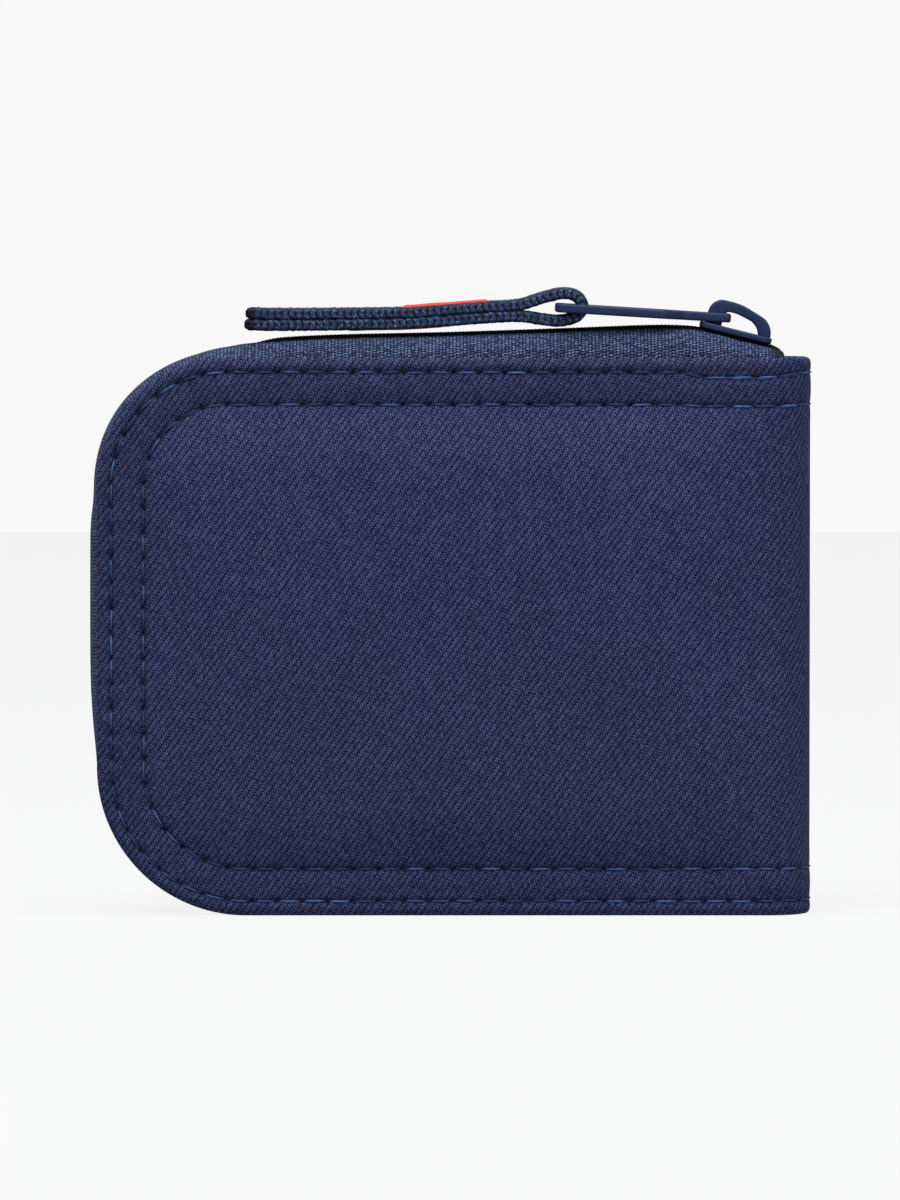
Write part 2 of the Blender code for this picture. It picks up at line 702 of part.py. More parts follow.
def build_wallet():
    clear_scene()
    make_collection(PARTS_COLLECTION)
    make_collection(CUTTERS_COLLECTION)

    spine_hinge = add_pivot("spine_hinge_axis", (SPINE_HINGE_X, SPINE_HINGE_DEPTH, 0.0))
    cover_hinge = add_pivot("front_cover_hinge_axis", (SPINE_HINGE_X, -SPINE_HINGE_DEPTH, 0.0), spine_hinge)
    build_cover("back", BACK, None)
    build_cover("front", FRONT, cover_hinge)
    build_card_pockets(cover_hinge)
    build_zip_half("back", BACK, None)
    build_zip_half("front", FRONT, cover_hinge)
    build_spine(spine_hinge)

    track_axis = add_pivot("zip_track_axis", (TRACK_CENTRE_X, 0.0, TRACK_TOP - TRACK_RADIUS))
    slider_frame = add_pivot("slider_frame", slider_frame_origin(), track_axis, SLIDER_TILT)
    build_slider(slider_frame)
    build_bail(slider_frame)

    pivot = puller_pivot_point()
    tab_axis = Vector((TAB_AXIS[0], 0.0, TAB_AXIS[1]))
    along = pivot - tab_axis
    puller_tilt = math.atan2(-along.z, along.x)
    puller_frame = add_pivot("puller_pivot_axis", pivot, slider_frame, puller_tilt)
    build_puller(puller_frame, along.length)
    tab_pivot = add_pivot("tab_pivot_axis", tab_axis, puller_frame)
    build_tab(tab_pivot)
    build_patches(tab_pivot)

    coil_depth = build_coin_pocket()
    coin_frame = add_pivot("coin_slider_frame", (COIN_SLIDER_X, 0.0, COIN_ZIP_Z))
    build_coin_slider(coil_depth, coin_frame)


build_wallet()
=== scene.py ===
"""Looks of the zip around wallet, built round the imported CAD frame.

Shapes are worked out in millimetres and made in metres. The two covers and the spine are one
cloth, laid out flat: u runs along the wallet and then round the spine, z runs up, and "out" is
the height above the cloth's nominal outer face. Side -1 is the front and +1 is the back.
"""

import math
import random

import bmesh
import bpy
import numpy as np
from mathutils import Matrix, Vector
from mathutils.geometry import delaunay_2d_cdt


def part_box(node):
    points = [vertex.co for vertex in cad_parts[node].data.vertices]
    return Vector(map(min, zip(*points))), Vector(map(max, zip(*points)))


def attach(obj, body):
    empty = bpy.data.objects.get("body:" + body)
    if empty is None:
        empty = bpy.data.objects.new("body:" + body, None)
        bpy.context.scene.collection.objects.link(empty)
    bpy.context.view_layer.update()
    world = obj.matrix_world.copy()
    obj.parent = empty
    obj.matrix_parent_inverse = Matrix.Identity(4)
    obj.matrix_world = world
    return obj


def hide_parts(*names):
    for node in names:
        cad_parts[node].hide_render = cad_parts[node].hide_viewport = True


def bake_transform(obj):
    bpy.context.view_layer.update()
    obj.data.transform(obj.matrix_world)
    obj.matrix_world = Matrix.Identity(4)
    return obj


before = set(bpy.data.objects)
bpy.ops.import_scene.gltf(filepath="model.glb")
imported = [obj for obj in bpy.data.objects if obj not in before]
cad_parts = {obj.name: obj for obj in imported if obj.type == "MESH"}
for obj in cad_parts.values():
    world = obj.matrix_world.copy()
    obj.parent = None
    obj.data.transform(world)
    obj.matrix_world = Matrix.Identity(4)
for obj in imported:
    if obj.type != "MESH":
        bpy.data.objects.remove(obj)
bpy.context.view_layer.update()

MM = 0.001
FRONT = -1
BACK = 1


def node_box(node):
    """A CAD node's box in millimetres."""
    low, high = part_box(node)
    return low / MM, high / MM


# ------------------------------------------------------------------ sizes, in millimetres

PANEL_LOW, PANEL_HIGH = node_box("front_outer_panel")
SPINE_LOW, SPINE_HIGH = node_box("spine_outer_strip")
LEFT = PANEL_LOW.x
TOP = PANEL_HIGH.z
DEPTH = -PANEL_LOW.y
CLOTH = 1.4
SPINE_RADIUS = 7.0
BEND_START = SPINE_HIGH.x - SPINE_RADIUS
BEND_LENGTH = SPINE_RADIUS * math.pi / 2
MID_SPINE = BEND_START + BEND_LENGTH + DEPTH - SPINE_RADIUS
TOP_CORNER = 21.0
BOTTOM_CORNER = 24.0

# Seams
PITCH = 4.05
OUTER_ROW = 2.35
INNER_ROW = 7.55
COLUMNS_PER_STITCH = 12
THREAD_RADIUS = 0.17
HEM_RADIUS = CLOTH / 2
BAND_WIDTH = 9.3
CENTRE_STEP = 1.5
BAND_STEP = 0.36
FINE_STEP = 0.16
SEAM_REACH = 0.8
# How far the two rows sink below their inset where the top edge is sewn over twice
OUTER_DIP = 0.85
INNER_DIP = 0.25
HEM_POINTS = 9
HOLE_REACH = 0.34
STITCH_POINTS = 10
# A stitch row far outside the cloth, for points that no row comes near
NO_ROW = (-9.0, 0.5)

# Foam inside the inner row
PAD = 1.45
PAD_RISE = 4.2
CROWN = 1.3
PAD_MIDDLE = (0.0, 45.0)
PAD_HALF = (60.0, 48.0)

# Angles above which an edge is drawn sharp, in degrees
SKIN_SHARP = 55
CLOTH_SHARP = 60
WEBBING_SHARP = 70
PLATE_SHARP = 40

# Zip
TAPE_THICKNESS = 0.5
TAPE_MARGIN = 7.0
TAPE_EDGE = 2.0
TAPE_DEPTH = 8.0
TAPE_SEWN = -1.8
TUCKED_EDGE = 0.3
END_PINCH = 1.3
ARCH_STEPS = 16
# Rows of the arch whose normals tell which way is outwards
OUTWARD_ROWS = slice(4, 10)
COIL_OFFSET = 1.15
COIL_WIDE = 0.95
COIL_HIGH = 0.62
COIL_WIRE = 0.26
COIL_PITCH = 0.62
COIL_HIDDEN = 1.0
COIL_TURN_POINTS = 11
ZIP_END = 54.8
# The crest of the closed zip, as (x, z) points along the top
CREST = (
    (LEFT + TOP_CORNER, 91.6),
    (-33.0, 92.3),
    (-27.5, 93.1),
    (-17.7, 93.6),
    (0.0, 94.0),
    (18.0, 94.6),
    (31.0, 95.1),
    (37.0, 95.1),
    (41.0, 94.7),
    (46.5, 93.4),
    (51.5, 92.1),
    (53.6, 91.0),
    (54.8, 89.0),
)

# How proud the zip stands past the top line's end: (millimetres along the edge, millimetres proud)
EDGE_PROUD = (
    (0.0, CREST[0][1] - TOP),
    (3.0, 1.25),
    (7.0, 0.95),
    (20.0, 0.9),
    (33.0, 0.75),
    (39.0, 1.25),
    (45.0, 1.35),
    (62.0, 1.35),
    (70.0, 1.0),
    (78.0, 0.3),
    (88.0, -0.1),
    (100.0, -0.5),
    (260.0, -0.5),
)

# ------------------------------------------------------------------ small tools


def smooth(low, high, value):
    """0 below low, 1 above high, eased between."""
    part = np.clip((np.asarray(value, float) - low) / (high - low), 0.0, 1.0)
    return part * part * (3 - 2 * part)


def hump(value, centre, width):
    """A bell of height 1."""
    return np.exp(-(((np.asarray(value, float) - centre) / width) ** 2))


def unit(vectors):
    """The vectors of the last axis at length 1."""
    return vectors / np.linalg.norm(vectors, axis=-1, keepdims=True)


def line_length(points):
    """The distance along a line of points at each of them."""
    steps = np.linalg.norm(np.diff(points, axis=0), axis=1)
    return np.concatenate([[0.0], np.cumsum(steps)])


def side_normals(line):
    """The tangents of a line of (x, z) points turned a quarter turn anticlockwise."""
    tangent = unit(np.gradient(line, axis=0))
    return np.stack([-tangent[:, 1], tangent[:, 0]], axis=1)


def both_faces(x, z):
    """The weave map of a slab whose two faces share the same (x, z) grid."""
    pairs = np.stack([np.ravel(x), np.ravel(z)], axis=1)
    return {"weave": np.concatenate([pairs, pairs])}


def waves(seed, count, shortest, longest):
    """A smooth random function of two lengths, from -1 to 1 or so, as a sum of plane waves."""
    draw = random.Random(seed)
    terms = []
    for _ in range(count):
        length = shortest * (longest / shortest) ** draw.random()
        angle = draw.uniform(0, math.pi)
        terms.append((math.cos(angle) / length, math.sin(angle) / length, draw.uniform(0, math.tau)))

    def value(x, y):
        total = 0.0
        for kx, ky, phase in terms:
            total = total + np.sin(math.tau * (kx * x + ky * y) + phase)
        return total / math.sqrt(count)

    return value


def grid_faces(rows, columns, around=False, base=0):
    """Quads of a grid of points, row by row; around joins the last column to the first."""
    faces = []
    for row in range(rows - 1):
        for column in range(columns if around else columns - 1):
            after = (column + 1) % columns
            low = base + row * columns
            high = low + columns
            faces.append((low + column, low + after, high + after, high + column))
    return faces


class Shape:
    """Points in millimetres and faces, gathered from one or more closed bodies."""

    def __init__(self):
        self.points = []
        self.faces = []
        self.values = {}

    def add(self, points, faces, **values):
        base = len(self.points)
        self.points.extend(np.asarray(points, float).tolist())
        self.faces.extend(tuple(base + index for index in face) for face in faces)
        for name, value in values.items():
            self.values.setdefault(name, []).extend(np.asarray(value, float).tolist())

    def add_tube(self, path, radii, normals, sides=6, twist=0.0, lobes=0.0, **values):
        """A closed tube along path. radii is a (across, along the normal) pair for each point."""
        path = np.asarray(path, float)
        normals = np.asarray(normals, float)
        radii = np.broadcast_to(np.asarray(radii, float), (len(path), 2))
        tangents = unit(np.gradient(path, axis=0))
        sideways = unit(np.cross(tangents, normals))
        upwards = np.cross(sideways, tangents)
        turn = math.tau * np.arange(sides) / sides
        spin = twist * np.linspace(0, 1, len(path))[:, None]
        size = 1 + lobes * np.cos(2 * (turn[None, :] - spin))
        across = (np.cos(turn)[None, :] * size * radii[:, :1])[:, :, None] * sideways[:, None, :]
        along = (np.sin(turn)[None, :] * size * radii[:, 1:])[:, :, None] * upwards[:, None, :]
        points = (path[:, None, :] + across + along).reshape(-1, 3)
        faces = grid_faces(len(path), sides, around=True)
        last = (len(path) - 1) * sides
        faces.append(tuple(reversed(range(sides))))
        faces.append(tuple(range(last, last + sides)))
        spread = {name: np.repeat(value, sides) for name, value in values.items()}
        self.add(points, faces, **spread)

    def add_slab(self, front, back, **values):
        """A closed sheet between two grids of points with the same rows and columns."""
        rows, columns = front.shape[:2]
        points = np.concatenate([front.reshape(-1, 3), back.reshape(-1, 3)])
        count = rows * columns
        faces = grid_faces(rows, columns)
        faces += [tuple(reversed([count + index for index in face])) for face in faces]
        top = list(range(columns))
        right = [row * columns + columns - 1 for row in range(rows)]
        bottom = [(rows - 1) * columns + column for column in reversed(range(columns))]
        left = [row * columns for row in reversed(range(rows))]
        rim = top + right[1:] + bottom[1:] + left[1:-1]
        for here, after in zip(rim, rim[1:] + rim[:1]):
            faces.append((after, here, count + here, count + after))
        doubled = {name: np.concatenate([np.ravel(value)] * 2) for name, value in values.items()}
        self.add(points, faces, **doubled)

    def build(self, name, material, sharp=50.0, maps=None):
        """The piece, with its faces pointing out, its values as attributes and its UV maps."""
        mesh = bpy.data.meshes.new(name)
        mesh.from_pydata((np.asarray(self.points) * MM).tolist(), [], self.faces)
        for value_name, value in self.values.items():
            attribute = mesh.attributes.new(value_name, "FLOAT", "POINT")
            attribute.data.foreach_set("value", np.asarray(value, np.float32))
        for map_name, coordinates in (maps or {}).items():
            set_map(mesh, map_name, coordinates)
        face_out(mesh)
        mesh.shade_smooth()
        mesh.set_sharp_from_angle(angle=math.radians(sharp))
        mesh.materials.append(material)
        obj = bpy.data.objects.new(name, mesh)
        bpy.context.scene.collection.objects.link(obj)
        return obj


def set_map(mesh, name, coordinates):
    """A UV map from one coordinate pair for each point."""
    loops = np.zeros(len(mesh.loops), np.int32)
    mesh.loops.foreach_get("vertex_index", loops)
    layer = mesh.uv_layers.new(name=name)
    layer.data.foreach_set("uv", np.asarray(coordinates, np.float32)[loops].ravel())


def face_out(mesh):
    body = bmesh.new()
    body.from_mesh(mesh)
    bmesh.ops.recalc_face_normals(body, faces=body.faces)
    body.to_mesh(mesh)
    body.free()


def place_on(piece, body, slot, *nodes):
    """piece rides on body and stands for the CAD nodes, which it hides; slot is not used."""
    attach(piece, body)
    if nodes:
        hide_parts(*nodes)


def bend_on(piece, side, slot, *nodes):
    """piece, already wrapped round the spine's corner, has its transform baked in and hides the CAD nodes.
    """
    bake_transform(piece)
    if nodes:
        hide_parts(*nodes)


# ------------------------------------------------------------------ materials


def linear(red, green, blue):
    """The linear colour of an sRGB one given from 0 to 255."""
    channels = [c / 255 for c in (red, green, blue)]
    return tuple(((c + 0.055) / 1.055) ** 2.4 if c > 0.04045 else c / 12.92 for c in channels)


MATT_FUZZ = {"Sheen_Weight": 0.02, "Sheen_Roughness": 0.5}


class Finish:
    """A material and short names for building its nodes."""

    def __init__(self, name, colour, roughness, **settings):
        self.material = bpy.data.materials.new(name)
        self.material.use_nodes = True
        self.tree = self.material.node_tree
        self.shader = self.tree.nodes["Principled BSDF"]
        self.set("Base Color", (*linear(*colour), 1.0))
        self.set("Roughness", roughness)
        for key, value in settings.items():
            self.set(key.replace("_", " "), value)

    def set(self, key, value):
        if isinstance(value, bpy.types.NodeSocket):
            self.tree.links.new(value, self.shader.inputs[key])
        else:
            self.shader.inputs[key].default_value = value

    def node(self, kind, inputs, **settings):
        made = self.tree.nodes.new(kind)
        for key, value in settings.items():
            setattr(made, key, value)
        for key, value in inputs.items():
            if isinstance(value, bpy.types.NodeSocket):
                self.tree.links.new(value, made.inputs[key])
            else:
                made.inputs[key].default_value = value
        return made

    def math(self, operation, *values):
        inputs = dict(enumerate(values))
        return self.node("ShaderNodeMath", inputs, operation=operation).outputs[0]

    def add(self, first, *rest):
        for value in rest:
            first = self.math("ADD", first, value)
        return first

    def times(self, first, *rest):
        for value in rest:
            first = self.math("MULTIPLY", first, value)
        return first

    def ease(self, value, low, high, to_low=0.0, to_high=1.0):
        inputs = {0: value, 1: low, 2: high, 3: to_low, 4: to_high}
        return self.node("ShaderNodeMapRange", inputs, interpolation_type="SMOOTHSTEP").outputs[0]

    def wave(self, size, turns, lag=0.0):
        """A cosine of a height, with its argument in turns and its lag in radians."""
        return self.times(self.math("COSINE", self.add(self.times(turns, math.tau), -lag)), size)

    def map(self, name):
        """The two coordinates of a UV map."""
        vector = self.node("ShaderNodeUVMap", {}, uv_map=name).outputs[0]
        parts = self.node("ShaderNodeSeparateXYZ", {0: vector}).outputs
        return parts[0], parts[1]

    def place(self):
        """The point on the piece at rest, in metres."""
        return self.node("ShaderNodeTexCoord", {}).outputs["Object"]

    def vector(self, x, y, z=0.0):
        return self.node("ShaderNodeCombineXYZ", {0: x, 1: y, 2: z}).outputs[0]

    def attribute(self, name):
        return self.node("ShaderNodeAttribute", {}, attribute_name=name).outputs["Fac"]

    def noise(self, vector, scale, detail=2.0):
        inputs = {"Vector": vector, "Scale": scale, "Detail": detail}
        return self.node("ShaderNodeTexNoise", inputs).outputs[0]

    def random(self, vector):
        return self.node("ShaderNodeTexWhiteNoise", {"Vector": vector}, noise_dimensions="3D").outputs[0]

    def mixed(self, factor, low, high):
        inputs = {0: factor, 6: low, 7: high}
        return self.node("ShaderNodeMix", inputs, data_type="RGBA").outputs[2]

    def between(self, factor, low, high):
        """A colour from low to high, given from 0 to 255."""
        return self.mixed(factor, (*linear(*low), 1.0), (*linear(*high), 1.0))

    def scaled(self, colour, factor):
        """A colour multiplied by a number."""
        inputs = {0: colour, "Scale": factor}
        return self.node("ShaderNodeVectorMath", inputs, operation="SCALE").outputs[0]

    def bump(self, height, distance, strength=1.0):
        inputs = {"Height": height, "Distance": distance, "Strength": strength}
        self.set("Normal", self.node("ShaderNodeBump", inputs).outputs[0])


# Turns per millimetre of the weaves along x and z, and the tape's bead in millimetres
TWILL_DIAGONAL = (-0.926, 0.673)
TWILL_WARP = (2.494, 0.556)
TAPE_COLUMN = 0.56
TAPE_BEAD = 0.5


def twill_finish():
    """Twill as waves: sunken diagonals, the warp yarns, the weft, and a brightness for each bead. The
    colour follows the height, so the sunken gaps carry painted shade, and rare bright specks are painted
    glints.
    """
    f = Finish("navy_twill", (44, 50, 86), 0.8, **MATT_FUZZ, Specular_IOR_Level=0.1)
    x, z = f.map("weave")
    wobble = f.noise(f.vector(x, z), 0.35, 1.0)
    x = f.add(x, f.times(f.add(wobble, -0.5), 0.22))
    diagonal = f.add(f.times(x, TWILL_DIAGONAL[0]), f.times(z, TWILL_DIAGONAL[1]))
    warp = f.add(f.times(x, TWILL_WARP[0]), f.times(z, TWILL_WARP[1]))
    weft = f.add(warp, f.times(diagonal, 2.0))
    ridges = f.add(f.wave(0.18, diagonal), f.wave(0.15, f.times(diagonal, 2.0), 2.74))
    yarns = f.add(f.wave(0.17, warp), f.wave(0.09, weft, 2.85), f.wave(0.11, f.add(weft, diagonal), -0.71))
    bead = f.random(f.vector(f.math("ROUND", warp), f.math("ROUND", weft)))
    grain = f.noise(f.vector(x, z), 3.4, 1.0)
    uneven = f.add(f.times(f.add(bead, -0.5), 0.24), f.times(f.add(grain, -0.5), 0.85))
    # Painted glints: rare bright specks in the colour.
    painted_glint = f.ease(f.noise(f.vector(z, x), 2.4, 1.0), 0.68, 0.82, 0.0, 0.5)
    cloud = f.noise(f.vector(x, z), 0.045, 3.0)
    height = f.add(0.46, ridges, yarns)
    # The tone rises with the height: painted shade in the sunken gaps between yarns.
    tone = f.add(height, uneven, painted_glint, f.times(f.add(cloud, -0.5), 0.12))
    tone = f.math("POWER", f.math("MAXIMUM", tone, 0.0), 2.0)
    # The shade attribute scales the colour: painted shade in the stitch grooves and needle holes, and a
    # darker border.
    f.set("Base Color", f.scaled(f.between(tone, (3, 10, 50), (86, 97, 136)), f.attribute("shade")))
    f.bump(height, 0.00012, 0.7)
    return f.material


def tape_finish():
    """Zip tape: fine herringbone with bright flecks painted as highlights on the bead tops and painted
    shade in the gaps, in the map's millimetres along and across.
    """
    f = Finish("navy_zip_tape", (28, 36, 70), 0.75, **MATT_FUZZ, Specular_IOR_Level=0.12)
    along, over = f.map("weave")
    column = f.times(along, 1 / TAPE_COLUMN)
    which = f.math("FLOOR", column)
    inside = f.math("ABSOLUTE", f.add(f.math("FRACT", column), -0.5))
    lean = f.add(f.times(column, 0.28), f.times(f.math("PINGPONG", column, 1.0), 0.5))
    row = f.add(f.times(over, 1 / TAPE_BEAD), lean)
    bead = f.math("ABSOLUTE", f.add(f.math("FRACT", row), -0.5))
    height = f.add(1.0, f.times(inside, inside, -1.9), f.times(bead, bead, -3.2))
    chance = f.random(f.vector(which, f.math("FLOOR", row)))
    fine = f.noise(f.vector(along, over), 3.2, 1.0)
    # Painted highlights: bright flecks on the bead tops.
    lit = f.add(0.12, f.times(chance, 0.75), f.times(f.add(fine, -0.5), 2.2))
    painted_highlight = f.times(f.math("MAXIMUM", lit, 0.0), f.ease(height, 0.4, 0.95), f.attribute("shade"))
    # Painted shade: the colour darkens where the height dips between beads, and with the shade attribute.
    tone = f.times(f.ease(height, 0.1, 0.95, 0.3, 1.15), f.attribute("shade"))
    yarn = f.between(painted_highlight, (16, 24, 54), (92, 112, 154))
    f.set("Base Color", f.scaled(yarn, tone))
    f.bump(height, 0.0001, 1.0)
    return f.material


def coil_finish():
    f = Finish("dark_zip_coil", (10, 13, 26), 0.5, Specular_IOR_Level=0.15)
    grain = f.noise(f.place(), 2600.0, 2.0)
    f.set("Base Color", f.between(grain, (6, 8, 17), (14, 18, 34)))
    f.bump(grain, 0.00002, 0.5)
    return f.material


def metal_finish():
    """Satin navy paint on zinc, with the faint unevenness of a sprayed coat."""
    coat = {"Coat_Weight": 0.05, "Coat_Roughness": 0.3}
    f = Finish("navy_painted_metal", (32, 43, 76), 0.42, Specular_IOR_Level=0.16, **coat)
    grain = f.noise(f.place(), 900.0, 4.0)
    wear = f.noise(f.place(), 260.0, 3.0)
    f.set("Base Color", f.between(wear, (29, 40, 72), (35, 47, 82)))
    f.set("Roughness", f.ease(grain, 0.3, 0.7, 0.34, 0.5))
    f.bump(grain, 0.00004, 0.35)
    return f.material


def webbing_finish():
    """Knitted webbing: glossy filaments with pale flecks painted as highlights, and painted shade between
    the loops.
    """
    fuzz = {"Sheen_Weight": 0.03, "Sheen_Roughness": 0.4}
    f = Finish("navy_webbing", (38, 58, 98), 0.6, Specular_IOR_Level=0.2, **fuzz)
    fine = f.noise(f.place(), 4600.0, 3.0)
    broad = f.noise(f.place(), 420.0, 2.0)
    depth = f.attribute("shade")
    # Painted highlights: pale flecks on the filaments.
    painted_highlight = f.ease(fine, 0.55, 0.74)
    body = f.between(broad, (24, 40, 74), (36, 56, 96))
    # The shade attribute scales the colour: painted shade in the knit holes and between the wales, painted
    # highlights on the loops, and darker sealed ends.
    body = f.scaled(body, f.ease(depth, 0.1, 1.0, 0.03, 1.05))
    glint = f.times(painted_highlight, f.ease(depth, 0.42, 0.85))
    f.set("Base Color", f.mixed(glint, body, (*linear(132, 160, 198), 1.0)))
    f.bump(fine, 0.00008, 0.8)
    return f.material


def thread_finish():
    """Two-ply sewing thread, a lighter blue than the cloth."""
    f = Finish("blue_thread", (44, 74, 130), 0.55, Sheen_Weight=0.03, Specular_IOR_Level=0.2)
    chance = f.attribute("tone")
    fine = f.noise(f.place(), 7000.0, 2.0)
    tone = f.add(f.ease(fine, 0.3, 0.7, 0.45, 1.25), f.times(chance, 0.25))
    f.set("Base Color", f.scaled(f.between(chance, (24, 48, 92), (54, 88, 142)), tone))
    f.bump(fine, 0.00004, 0.6)
    return f.material


def plain_weave_finish(name, low, high, per_mm=3.4):
    """Plain-weave lining cloth, in the map's millimetres."""
    f = Finish(name, high, 0.65, Sheen_Weight=0.02, Specular_IOR_Level=0.18)
    x, z = f.map("weave")
    warp = f.times(x, per_mm)
    weft = f.times(z, per_mm)
    over = f.math("SINE", f.times(warp, math.pi))
    under = f.math("SINE", f.times(weft, math.pi))
    height = f.add(0.5, f.times(f.times(over, under), 0.5))
    streak = f.random(f.vector(f.math("FLOOR", warp), 3.0))
    cloud = f.noise(f.vector(x, z), 0.08, 3.0)
    # The tone follows the weave's height: painted shade where the yarns dip; the shade attribute adds
    # painted shade along a stitched hem.
    tone = f.add(f.ease(height, 0.0, 1.0, 0.72, 1.05), f.times(streak, 0.16))
    tone = f.times(tone, f.attribute("shade"))
    f.set("Base Color", f.scaled(f.between(cloud, low, high), tone))
    f.bump(height, 0.00006, 0.7)
    return f.material


def patch_finish():
    """A plain woven label in red."""
    f = Finish("plain_red_patch", (214, 66, 58), 0.75, Sheen_Weight=0.03, Specular_IOR_Level=0.2)
    grid = f.node("ShaderNodeTexWave", {"Vector": f.place(), "Scale": 900.0}, bands_direction="X")
    cloud = f.noise(f.place(), 700.0, 3.0)
    # The tone follows the same waves as the bump: painted shade in the weave's low lines.
    tone = f.add(f.times(grid.outputs["Fac"], 0.12), 0.92)
    f.set("Base Color", f.scaled(f.between(cloud, (196, 52, 46), (226, 78, 66)), tone))
    f.bump(grid.outputs["Fac"], 0.00004, 0.6)
    return f.material


def board_finish():
    f = Finish("grey_board", (190, 186, 174), 0.9)
    grain = f.noise(f.place(), 800.0, 5.0)
    f.set("Base Color", f.between(grain, (172, 168, 156), (206, 202, 190)))
    f.bump(grain, 0.00004, 0.6)
    return f.material


TWILL = twill_finish()
TAPE = tape_finish()
COIL = coil_finish()
METAL = metal_finish()
WEBBING = webbing_finish()
THREAD = thread_finish()
LINING = plain_weave_finish("dark_lining", (28, 33, 64), (38, 44, 80))
POCKET = plain_weave_finish("pocket_cloth", (38, 44, 80), (49, 56, 96), 2.6)
PATCH = patch_finish()
BOARD = board_finish()

# ------------------------------------------------------------------ the cloth's outline


class Outline:
    """Points along a cover's free edge, from mid-spine at the top round to mid-spine at the bottom.

    Each has its place and its inward direction in (u, z), so a line at any inset follows.
    """

    def __init__(self, step, start=None, end=None):
        start = MID_SPINE if start is None else start
        end = MID_SPINE if end is None else end
        self.u, self.z, self.in_u, self.in_z = [], [], [], []
        top_centre = (LEFT + TOP_CORNER, TOP - TOP_CORNER)
        low_centre = (LEFT + BOTTOM_CORNER, BOTTOM_CORNER)
        self.line((start, TOP), (top_centre[0], TOP), (0, -1), step)
        self.arc(top_centre, TOP_CORNER, 90, step)
        self.line((LEFT, top_centre[1]), (LEFT, low_centre[1]), (1, 0), step)
        self.arc(low_centre, BOTTOM_CORNER, 180, step)
        self.line((low_centre[0], 0.0), (end, 0.0), (0, 1), step)
        self.u.append(end)
        self.z.append(0.0)
        self.in_u.append(0.0)
        self.in_z.append(1.0)
        for name in ("u", "z", "in_u", "in_z"):
            setattr(self, name, np.array(getattr(self, name)))
        self.count = len(self.u)

    def line(self, start, end, inward, step):
        count = max(round(math.dist(start, end) / step), 1)
        for part in np.arange(count) / count:
            self.u.append(start[0] + (end[0] - start[0]) * part)
            self.z.append(start[1] + (end[1] - start[1]) * part)
            self.in_u.append(inward[0])
            self.in_z.append(inward[1])

    def arc(self, centre, radius, first, step):
        count = max(round(radius * math.pi / 2 / step), 1)
        for part in np.arange(count) / count:
            angle = math.radians(first + 90 * part)
            self.u.append(centre[0] + radius * math.cos(angle))
            self.z.append(centre[1] + radius * math.sin(angle))
            self.in_u.append(-math.cos(angle))
            self.in_z.append(-math.sin(angle))

    def at(self, inset):
        """The (u, z) points of the line at this inset."""
        return self.u + inset * self.in_u, self.z + inset * self.in_z

    def length(self, inset):
        return line_length(np.stack(self.at(inset), axis=1))


class Row:
    """A row of stitches at an inset from the edge, which may drift along the way."""

    def __init__(self, outline, inset, drift):
        self.inset = inset + drift
        length = outline.length(self.inset)
        self.count = round(length[-1] / PITCH)
        self.phase = length / length[-1] * self.count


def wrap(u, z, out, side):
    """The points in space of cloth at (u, z), out millimetres above the nominal outer face."""
    u, z, out = np.broadcast_arrays(np.asarray(u, float), z, out)
    angle = np.clip((u - BEND_START) / SPINE_RADIUS, 0, math.pi / 2)
    flat = np.minimum(u - BEND_START, 0)
    past = np.maximum(u - BEND_START - BEND_LENGTH, 0)
    radius = SPINE_RADIUS + out
    x = BEND_START + flat + radius * np.sin(angle)
    depth = DEPTH - SPINE_RADIUS + radius * np.cos(angle) - past
    return np.stack([x, side * depth, z], axis=-1)


def inset_of(u, z):
    """How far a point of the cover is inside its edge."""
    inset = np.minimum(np.minimum(z, TOP - z), u - LEFT)
    corners = (
        (LEFT + TOP_CORNER, TOP - TOP_CORNER, TOP_CORNER, 1),
        (LEFT + BOTTOM_CORNER, BOTTOM_CORNER, BOTTOM_CORNER, -1),
    )
    for centre_u, centre_z, radius, up in corners:
        inside = (u < centre_u) & ((z - centre_z) * up > 0)
        rounded = radius - np.hypot(u - centre_u, z - centre_z)
        inset = np.where(inside, rounded, inset)
    return inset


ripples = waves(11, 14, 3.0, 14.0)
rolling = waves(5, 10, 18.0, 60.0)


def padding(inset, u, z):
    """The foam's rise inside the inner row, dying away towards the spine."""
    past = np.maximum(inset - INNER_ROW, 0)
    rise = PAD * (1 - np.exp(-past / PAD_RISE))
    across = 1 - np.clip(np.abs(u - PAD_MIDDLE[0]) / PAD_HALF[0], 0, 1) ** 2
    up = 1 - np.clip(np.abs(z - PAD_MIDDLE[1]) / PAD_HALF[1], 0, 1) ** 2
    crown = CROWN * across * up * smooth(0, 9, past)
    return (rise + crown + 0.06 * rolling(u, z) * smooth(0, 6, past)) * (1 - smooth(40, 57, u))


def pierced(phase):
    """How far the needle hole nearest to this stitch phase was pulled open, from 0.3 to 1."""
    return 0.3 + 0.7 * np.abs(np.sin(np.round(phase) * 12.9898) * 43758.5453 % 1.0)


